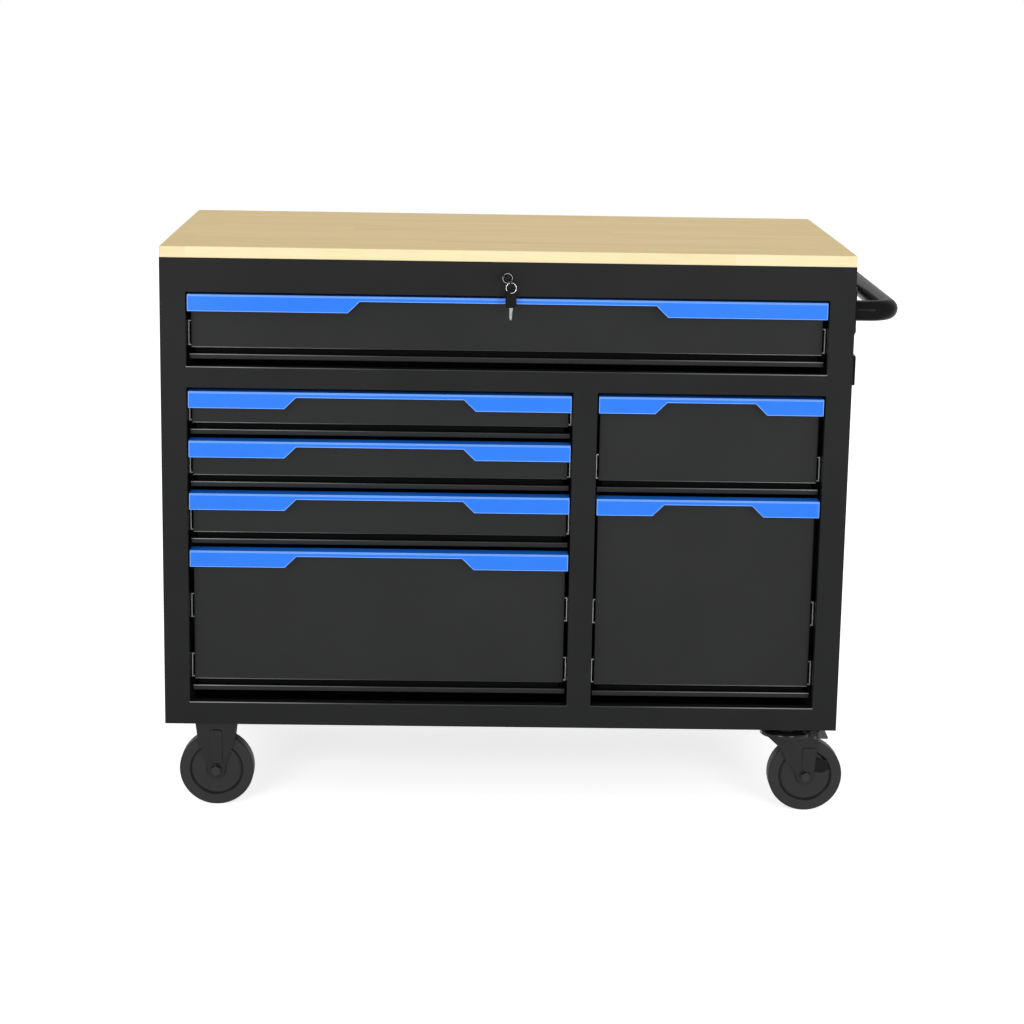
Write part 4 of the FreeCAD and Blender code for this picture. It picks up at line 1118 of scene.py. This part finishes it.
@dataclass
class LockAndKeys:
    """The lock in the fascia, its key, the ring and the spare key."""

    lock: Pair = (-2.0, 942.0)
    barrel: Outline = (
        (5.05, -0.9), (7.15, -0.9), (7.3, -3.0), (7.7, -3.6), (8.2, -3.6), (8.7, -3.0),
        (9.0, -1.8), (9.0, 0.0), (7.5, 0.0), (7.5, 1.2), (11.0, 1.2), (11.0, 3.6), (7.5, 3.6),
        (7.5, 42.0), (5.05, 42.0))
    face_radius: float = 7.2
    turned: float = 45.0
    thick: float = 2.2
    bow: Pair = (-33.0, -9.0)
    bow_half: float = 14.0
    bow_corner: float = 8.5
    bow_edge: Round = (0.6, 3)
    neck: Pair = (-9.4, -3.0)
    neck_half: Pair = (0.9, 3.0)
    neck_edge: float = 0.4
    hole: Triple = (-22.0, 8.5, 3.5)
    ring: Triple = (4.01, -22.0, 928.1)
    ring_radius: float = 8.55
    ring_start: float = 200.0
    ring_turns: float = 1.92
    ring_steps: int = 150
    wire: float = 0.54
    spare: Triple = (4.0, -22.0, 920.2)
    spare_hole: float = 2.6
    spare_turn: float = 34.0
    spare_half: float = 10.5
    spare_reach: Pair = (-25.5, 4.6)
    spare_corner: float = 5.5
    spare_edge: Round = (0.7, 3)
    blade_half: float = 3.0
    blade_start: float = -24.0
    blade_end: float = -46.0
    blade_edge: Round = (0.25, 2)
    cuts: Outline = ((0.0, 0.0), (0.0, -7.0), (-1.3, -9.0), (-0.3, -11.0),
                              (-1.6, -13.5), (-0.5, -16.0), (-1.4, -18.5))

    def build(self) -> None:
        """Build the lock, both keys and the ring."""
        self.build_barrel()
        self.build_key()
        self.build_ring()
        self.build_spare()
        dress(Finishes.BOLT, "lock_plug")

    def build_barrel(self) -> None:
        """Build the barrel with its rounded bezel and its nut."""
        mesh = Mesh()
        centre = place(self.lock[0], 0.0, self.lock[1])
        mesh.turned(self.barrel, centre, ALONG_Y, 64)
        # Painted shade: the face and the bore inside the bezel are coated near black.
        mesh.coat(Finishes.RECESS_SHADE, lambda f: (
            (middle(f) - centre).xz.length < self.face_radius * MM))
        mesh.finish("bezel_and_barrel", Finishes.NICKEL, "cabinet", "chrome_steel",
                    "lock_barrel")

    def build_key(self) -> None:
        """Build the key in the lock: a moulded bow on a flat neck, turned with the plug."""
        mesh = Mesh()
        x, z = self.lock
        hole_y, drop, radius = self.hole
        half = self.thick / 2
        mesh.prism(rounded(*self.bow, z - self.bow_half, z + self.bow_half,
                           self.bow_corner), "x", x - half, x + half, *self.bow_edge,
                   holes=[circle(hole_y, z - drop, radius, 28)])
        (front, back), (wide, tall) = self.neck, self.neck_half
        mesh.box((x - wide, front, z - tall), (x + wide, back, z + tall), self.neck_edge)
        mesh.turn(place(x, 0.0, z), "Y", -self.turned)
        mesh.finish("key_bow", Finishes.PLASTIC, "lock", "black_plastic", "key_in_lock")

    def build_ring(self) -> None:
        """Build the ring of spring wire, with its two turns side by side."""
        mesh = Mesh()
        x, y, z = self.ring
        points = []
        for k in range(self.ring_steps + 1):
            share = k / self.ring_steps
            angle = math.radians(self.ring_start) + math.tau * self.ring_turns * share
            points.append(place(x + self.ring_radius * math.cos(angle),
                                y + self.wire * (2.0 * share - 1.0),
                                z + self.ring_radius * math.sin(angle)))
        mesh.wire(points, self.wire, 12)
        mesh.finish("split_ring", Finishes.NICKEL, "ring", "chrome_steel", "key_ring")

    def build_spare(self) -> None:
        """Build the spare key that hangs from the ring: moulded head and cut blade."""
        x, y, z = self.spare
        half, wide = self.thick / 2, self.blade_half
        low, high = self.spare_reach
        head = Mesh()
        head.prism(rounded(x - self.spare_half, x + self.spare_half, z + low, z + high,
                           self.spare_corner), "y", y - half, y + half, *self.spare_edge,
                   holes=[circle(x, z, self.spare_hole, 24)])
        head.turn(place(x, y, z), "Z", self.spare_turn)
        head.finish("spare_key_head", Finishes.PLASTIC, "ring", "black_plastic")
        blade = Mesh()
        start, end = z + self.blade_start, z + self.blade_end
        edge = [(x + wide + inward, start + along) for inward, along in self.cuts]
        edge += [(x + 0.8, end), (x - 0.8, end), (x - wide, end + 3.0), (x - wide, start)]
        blade.prism(edge, "y", y - half + 0.2, y + half - 0.2, *self.blade_edge)
        blade.box((x - wide - 1.2, y - half + 0.1, start - 2.2),
                  (x + wide + 1.2, y + half - 0.1, start - 0.2), self.neck_edge)
        blade.turn(place(x, y, z), "Z", self.spare_turn)
        blade.finish("spare_key_blade", Finishes.ZINC, "ring", "chrome_steel")


@dataclass
class Wheel:
    """One caster wheel: rubber tread round a plastic hub."""

    name: str
    x: float
    y: float
    radius: float = 65.0
    half: float = 16.0
    shoulder: float = 58.0
    crown: Pair = (4.5, 3.5)
    crown_steps: int = 6
    lip: Outline = ((44.2, 3.0), (44.3, 1.7), (45.9, 0.2), (47.2, 0.0))
    # radii of the ring in the groove that gets painted shade
    shade_ring: Pair = (44.25, 46.8)
    side: Outline = (
        (6.1, 18.5), (15.0, 18.5), (16.0, 18.0), (17.5, 15.2), (19.0, 14.6), (36.0, 14.6),
        (37.5, 15.0), (40.6, 15.4), (41.6, 14.8), (41.8, 12.6), (44.3, 12.4))

    def build(self) -> None:
        """Build the tread and the hub."""
        centre = place(self.x, self.y, self.radius)
        deep, across = self.crown
        steps = self.crown_steps
        face = [(r, self.half - a) for r, a in self.lip] + [(self.shoulder, self.half)]
        face += [(self.radius - deep + deep * math.sin(a),
                  self.half - across + across * math.cos(a))
                 for a in (math.pi / 2 * k / steps for k in range(steps + 1))]
        tread = Mesh()
        tread.turned([(r, -a) for r, a in face] + face[::-1], centre, ALONG_Y, 128)
        # Painted shade: the lip ring in the groove gets the near-black glossy finish.
        inner, outer = (r * MM for r in self.shade_ring)
        tread.coat(Finishes.GROOVE_SHADE, lambda f: (
            inner < (middle(f) - centre).xz.length < outer))
        tread.finish("tread_" + self.name, Finishes.TREAD, self.name, "wheel_rubber",
                     self.name)
        hub = Mesh()
        hub.turned([*self.side, *((r, -a) for r, a in reversed(self.side))], centre,
                   ALONG_Y, 96)
        hub.finish("hub_" + self.name, Finishes.HUB, self.name, "wheel_rubber", self.name)


@dataclass
class MountingPlate:
    """The plate that holds a caster under the cabinet."""

    x: float
    y: float
    low: float = 155.0
    high: float = 158.0
    half: Pair = (50.0, 33.5)
    corner: float = 6.0
    edge: Round = (0.6, 2)

    def add_to(self, mesh: Mesh) -> None:
        """Add the plate to a mesh."""
        mesh.prism(around(self.x, self.y, self.half, self.corner), "z", self.low, self.high,
                   *self.edge)


@dataclass
class SwivelPlate(MountingPlate):
    """The plate of a swivel caster, with its ball race and kingpin."""

    race: Outline = (
        (0.0, 155.0), (32.0, 155.0), (32.0, 150.0), (31.0, 147.6), (29.5, 147.0),
        (6.0, 147.0), (6.0, 143.4), (0.0, 143.4))
    head: Outline = (
        (0.0, 143.4), (10.0, 143.4), (10.0, 139.5), (8.2, 137.4), (5.0, 137.0), (0.0, 137.0))

    def add_to(self, mesh: Mesh) -> None:
        """Add the plate, the race and the kingpin to a mesh."""
        super().add_to(mesh)
        for outline in (self.race, self.head):
            mesh.turned(outline, place(self.x, self.y, 0.0), ALONG_Z, 64, False)


@dataclass
class Fork:
    """The sheet steel fork of one caster, with the bolt that carries the wheel."""

    name: str
    body: str
    x: float
    y: float
    axle: float = 65.0
    gap: float = 19.0
    wall: float = 2.5
    rib: float = 2.5
    foot: float = 13.5
    chamfer: float = 4.5
    toe: float = 52.0
    rises: Triple = (75.0, 94.0, 115.0)
    outline_round: Round = (5.0, 5)
    face_edge: Round = (0.7, 2)
    sink: float = 0.4
    washer_edge: float = 0.4
    bolt_edge: float = 0.8
    washer: float = 1.6
    washer_radius: float = 11.0
    boss_radius: float = 10.5
    spacer_radius: float = 8.0
    spacer_start: float = 18.6
    bolt_radius: float = 6.0
    bolt_end: float = 8.0
    nut_radius: float = 9.0
    nut_high: float = 5.0
    nut_end: float = 6.5

    @property
    def out(self) -> float:
        """Give the distance of a leg's outside from the wheel's middle."""
        return self.gap + self.wall

    @staticmethod
    def crosses(top: float) -> EdgeTest:
        """Give the test for the short edges through an upright plate, below its top."""
        roof = level("z", top) - NEAR
        return lambda e: depth(e) > 0.99 * e.calc_length() and e.verts[0].co.z < roof

    def legs(self, mesh: Mesh, top: float, left: Sequence[float], right: Sequence[float]
             ) -> None:
        """Add both legs, rounded at their outline and at their faces.

        Args:
            mesh: The mesh that gets them.
            top: Height of their top.
            left: Half widths to the left at the three rises and at the top.
            right: Half widths to the right.
        """
        heights = (*self.rises, top)
        x, foot, heel = self.x, self.foot, self.toe + self.chamfer
        outline = [(x - foot + self.chamfer, self.toe), (x + foot - self.chamfer, self.toe),
                   (x + foot, heel), *((x + w, z) for w, z in zip(right, heights)),
                   *reversed([(x - w, z) for w, z in zip(left, heights)]), (x - foot, heel)]
        crosses = self.crosses(top)
        for side in SIDES:
            leg = Mesh()
            leg.prism(outline, "y",
                      *sorted((self.y + side * self.gap, self.y + side * self.out)))
            leg.round_all(*self.outline_round, crosses)
            leg.round_all(*self.face_edge, lambda e: not crosses(e))
            mesh.take(leg)

    def rods(self, mesh: Mesh, bevel: float, rows: Iterable[Triple], steps: int,
             nut: bool = False) -> None:
        """Add rods along the axle.

        Args:
            mesh: The mesh that gets them.
            bevel: Rounding of their rims.
            rows: For each its radius, start and end from the wheel's middle.
            steps: Sides of each rod.
            nut: Whether the sides are flats.
        """
        for radius, start, end in rows:
            mesh.rod(radius, place(self.x, self.y + start, self.axle),
                     place(self.x, self.y + end, self.axle), bevel, steps, nut)

    def build_fork(self, mesh: Mesh) -> None:
        """Add the washers and spacers, finish the fork, and build its axle bolt.

        Args:
            mesh: The fork's mesh.
        """
        out, head = self.out, -self.out - self.rib
        self.rods(mesh, self.washer_edge, (
            (self.boss_radius, head, -out), (self.washer_radius, out, out + self.washer),
            (self.spacer_radius, -self.gap, -self.spacer_start),
            (self.spacer_radius, self.spacer_start, self.gap)), 40)
        mesh.finish("fork_" + self.name, Finishes.CASTER, self.body, "caster_paint",
                    self.name)
        bolt = Mesh()
        self.rods(bolt, self.bolt_edge, (
            (self.nut_radius, head - self.nut_high, head),
            (self.nut_radius, out + self.washer, out + self.nut_end)), 6, True)
        self.rods(bolt, self.bolt_edge, (
            (self.bolt_radius, head, out + self.bolt_end),), 32)
        bolt.finish("axle_bolt_" + self.name, Finishes.BOLT, self.body, "caster_paint",
                    self.name)


@dataclass
class RigidFork(Fork):
    """A fork that stands fixed under its mounting plate."""

    half: Row = (16.0, 23.5, 31.5, 36.5)
    rib_half: float = 11.0
    rib_span: Pair = (77.0, 139.0)
    rib_corner: float = 5.0
    rib_round: Round = (2.0, 3)

    def build(self) -> None:
        """Build the plate, the bent legs with their pressed ribs, and the bolt."""
        mesh = Mesh()
        plate = MountingPlate(self.x, self.y)
        self.legs(mesh, plate.low, self.half, self.half)
        for side in SIDES:
            face = self.y + side * (self.out + self.rib)
            rib = Mesh()
            rib.prism(rounded(self.x - self.rib_half, self.x + self.rib_half,
                              *self.rib_span, self.rib_corner), "y",
                      *sorted((self.y + side * (self.out - self.sink), face)))
            rib.round_all(*self.rib_round, flat("y", face))
            mesh.take(rib)
        wide = self.half[-1]
        mesh.box((self.x - wide, self.y - self.gap, plate.low - self.wall),
                 (self.x + wide, self.y + self.gap, plate.low))
        plate.add_to(mesh)
        self.build_fork(mesh)


@dataclass
class SwivelFork(Fork):
    """A fork that turns on its ball race, with its rubber stop."""

    post: float = 503.0
    crown: Pair = (143.7, 146.7)
    crown_radius: float = 46.0
    crown_hole: float = 6.1
    crown_span: Pair = (458.0, 558.0)
    back: Row = (20.0, 36.0, 45.0, 80.0)
    front: Row = (16.0, 17.5, 20.0, 20.0)
    brace: Outline = ((531.0, 75.0), (552.0, 75.0), (556.0, 117.0), (531.0, 117.0))
    stop: Outline = ((548.0, 74.0), (567.0, 71.0), (580.5, 79.0), (576.0, 95.0),
                              (548.0, 97.0))
    stop_inset: float = 0.3
    plate_bend: Round = (2.4, 4)
    brace_round: Round = (3.0, 4)
    brace_edge: Round = (0.8, 2)
    stop_round: Round = (2.0, 3)
    stop_edge: Round = (0.5, 2)

    def build(self) -> None:
        """Build the crown, the legs, the brace plate, the bolt and the stop."""
        mesh = Mesh()
        low, high = self.crown
        self.legs(mesh, high, self.back, self.front)
        radius = self.crown_radius
        mesh.turned([(self.crown_hole, low), (self.crown_hole, high), (radius - 3.5, high),
                     (radius - 1.2, high - 0.8), (radius, high - 3.0), (radius, high - 7.5),
                     (radius - 2.5, high - 7.5), (radius - 2.6, low)],
                    place(self.post, self.y, 0.0), ALONG_Z, 96)
        plate = Mesh()
        plate.box((self.crown_span[0], self.y - self.out, low),
                  (self.crown_span[1], self.y + self.out, high))
        plate.round_all(*self.plate_bend, flat("z", high))
        mesh.take(plate)
        face = self.y - self.out
        brace = Mesh()
        brace.prism(self.brace, "y", face - self.rib, face + self.sink)
        brace.round_all(*self.brace_round, self.crosses(high))
        brace.round_all(*self.brace_edge, flat("y", face - self.rib))
        mesh.take(brace)
        self.build_fork(mesh)
        self.build_stop()

    def build_stop(self) -> None:
        """Build the dark rubber stop that stands out behind the front leg."""
        mesh = Mesh()
        face = self.y - self.out
        mesh.prism(self.stop, "y", face + self.stop_inset,
                   face + self.wall - self.stop_inset)
        mesh.round_all(*self.stop_round, self.crosses(self.crown[1]))
        mesh.round_all(*self.stop_edge, lambda e: depth(e) < SMALL)
        mesh.finish("stop_" + self.name, Finishes.PLASTIC, self.body, "caster_paint")


@dataclass
class BrakePedal:
    """The pedal that presses on a swivel caster's wheel."""

    row: str
    y: float
    pin: Pair = (552.0, 136.5)
    half: float = 17.0
    reach: float = 23.0
    outline: Outline = (
        (548.0, 132.5), (576.0, 132.5), (576.0, 136.0), (566.0, 150.0), (562.0, 150.0),
        (556.0, 140.5), (548.0, 140.5))
    ribs: Outline = tuple((567.5 + 2.0 * k, 148.0 - 2.8 * k) for k in range(4))
    rib_half: float = 14.0
    bend: Round = (1.6, 3)
    edge: Round = (0.7, 2)

    def build(self) -> None:
        """Build the pressed pedal, its pin and its ribs."""
        mesh = Mesh()
        mesh.prism(self.outline, "y", self.y - self.half, self.y + self.half)
        mesh.round_all(*self.bend, lambda e: depth(e) > self.half * MM)
        mesh.round_all(*self.edge, lambda e: depth(e) < SMALL)
        rods = [(3.0, self.pin, self.reach, 0.5, 32)]
        rods += [(0.6, rib, self.rib_half, 0.2, 12) for rib in self.ribs]
        for radius, (x, z), half, bevel, steps in rods:
            mesh.rod(radius, place(x, self.y - half, z), place(x, self.y + half, z), bevel,
                     steps)
        mesh.finish("pedal_" + self.row, Finishes.PEDAL, "brake_" + self.row, "zinc",
                    "brake_pedal_" + self.row)


@dataclass
class Casters:
    """The four casters."""

    rigid_x: float = -499.0
    post_x: float = 503.0
    axle_x: float = 538.0
    rows: Sequence[Tuple[str, float]] = (("front", 49.0), ("rear", 573.0))

    def build(self) -> None:
        """Build the wheels, the forks, the pedals and the swivel casters' plates."""
        plates = Mesh()
        for row, y in self.rows:
            Wheel("wheel_left_" + row, self.rigid_x, y).build()
            Wheel("wheel_right_" + row, self.axle_x, y).build()
            RigidFork("rigid_fork_" + row, "cabinet", self.rigid_x, y).build()
            SwivelFork("swivel_fork_" + row, "caster_" + row, self.axle_x, y).build()
            BrakePedal(row, y).build()
            SwivelPlate(self.post_x, y).add_to(plates)
        plates.finish("caster_plates", Finishes.CASTER, "cabinet", "caster_paint",
                      "swivel_caster_plates")


@dataclass
class Studio:
    """Floor, lamps and camera."""

    lens: float = 2474.9 / 1024 * 36
    sensor: float = 36.0
    eye: Triple = (-70.1, -4127.9, 1449.3)
    yaw: float = 1.14
    pitch: float = 12.40
    roll: float = 0.98
    floor_half: float = 9.0
    sky: float = 0.62
    lamps: Sequence[Tuple[str, Triple, Triple, float, float]] = (
        ("left_lamp", (-2.1, -4.7, 1.9), (0.0, -0.2, 0.55), 1.7, 74.0),
        ("right_lamp", (2.1, -4.7, 1.9), (0.0, -0.2, 0.55), 1.7, 64.0),
        ("rear_lamp", (0.4, 3.0, 4.6), (0.0, 0.3, 0.6), 2.0, 25.0))

    @staticmethod
    def show(name: str, data: bpy.types.ID) -> bpy.types.Object:
        """Put data into the scene as an object."""
        obj = bpy.data.objects.new(name, data)
        bpy.context.scene.collection.objects.link(obj)
        return obj

    def build(self) -> None:
        """Build the floor, the world, the lamps and the camera."""
        self.build_floor()
        self.build_world()
        self.build_lamps()
        self.build_camera()

    def build_floor(self) -> None:
        """Lay the pale floor."""
        mesh = bpy.data.meshes.new("floor")
        bm = bmesh.new()
        bmesh.ops.create_grid(bm, x_segments=1, y_segments=1, size=self.floor_half)
        bm.to_mesh(mesh)
        bm.free()
        mesh.materials.append(Finishes.FLOOR.build())
        floor = self.show("floor", mesh)

    def build_world(self) -> None:
        """Light the scene softly from all round, with a white background."""
        world = bpy.data.worlds.new("studio_world")
        bpy.context.scene.world = world
        world.use_nodes = True
        graph = Graph(world.node_tree)
        nodes = world.node_tree.nodes
        white = graph.add("ShaderNodeBackground")
        for node, strength in ((nodes["Background"], self.sky), (white, 1.0)):
            graph.fill(node, {"Color": (1.0, 1.0, 1.0, 1.0), "Strength": strength})
        graph.fill(nodes["World Output"], {"Surface": graph.mix(
            graph.seen(), nodes["Background"].outputs[0], white.outputs[0])})

    def build_lamps(self) -> None:
        """Hang the soft lamps: one on each side in front and a weak one behind."""
        for name, spot, aim, size, power in self.lamps:
            data = bpy.data.lights.new(name, "AREA")
            data.shape = "SQUARE"
            data.size = size
            data.energy = power
            lamp = self.show(name, data)
            lamp.location = spot
            lamp.rotation_euler = (Vector(aim) - Vector(spot)).to_track_quat(
                "-Z", "Y").to_euler()

    def build_camera(self) -> None:
        """Set the camera at the photograph's place."""
        yaw, pitch, roll = (math.radians(a) for a in (self.yaw, self.pitch, self.roll))
        ahead = Vector((math.sin(yaw) * math.cos(pitch), math.cos(yaw) * math.cos(pitch),
                        -math.sin(pitch)))
        right = Vector((math.cos(yaw), -math.sin(yaw), 0.0))
        up = right.cross(ahead)
        across = right * math.cos(roll) + up * math.sin(roll)
        upward = up * math.cos(roll) - right * math.sin(roll)
        data = bpy.data.cameras.new("camera")
        data.lens = self.lens
        data.sensor_width = self.sensor
        data.clip_end = 60.0
        camera = self.show("camera", data)
        turn = Matrix((across, upward, -ahead)).transposed().to_4x4()
        camera.matrix_world = Matrix.Translation(place(*self.eye)) @ turn
        bpy.context.scene.camera = camera


@dataclass
class ToolChest:
    """The whole chest and its drawers."""

    opening: float = 541.0
    divider: Pair = (112.7, 153.7)
    reveal: float = 6.5
    rail_low: float = 749.5
    top_drawer: Triple = (907.5, 113.5, 268.8)
    heights_left: Row = (78.5, 84.5, 93.5, 255.5)
    heights_right: Row = (170.5, 357.0)
    land_left: float = 161.9
    land_right: float = 95.4

    def drawers(self) -> List[Drawer]:
        """List the drawers from the top down.

        Returns:
            The drawers.
        """
        found = [Drawer("top", -self.opening, self.opening, *self.top_drawer)]
        left, right = self.divider
        for column, start, end, heights, land in (
                ("left", -self.opening, left, self.heights_left, self.land_left),
                ("right", right, self.opening, self.heights_right, self.land_right)):
            low = self.rail_low
            for letter, height in zip("abcd", heights):
                top = low - self.reveal
                found.append(Drawer(f"{column}_{letter}", start, end, top, height, land))
                low = top - height
        return found

    def build(self) -> None:
        """Build every sub-assembly in order."""
        for part in (Cabinet(), *self.drawers(), SideHandle(), PowerStrip(), LockAndKeys(),
                     Casters(), Studio()):
            part.build()
            LOG.info("finished %s", type(part).__name__)


def main() -> None:
    """Build the chest."""
    logging.basicConfig(level=logging.INFO)
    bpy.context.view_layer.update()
    bpy.context.scene.view_settings.view_transform = "Standard"
    ToolChest().build()
    bpy.context.view_layer.update()


if __name__ == "__main__":
    main()
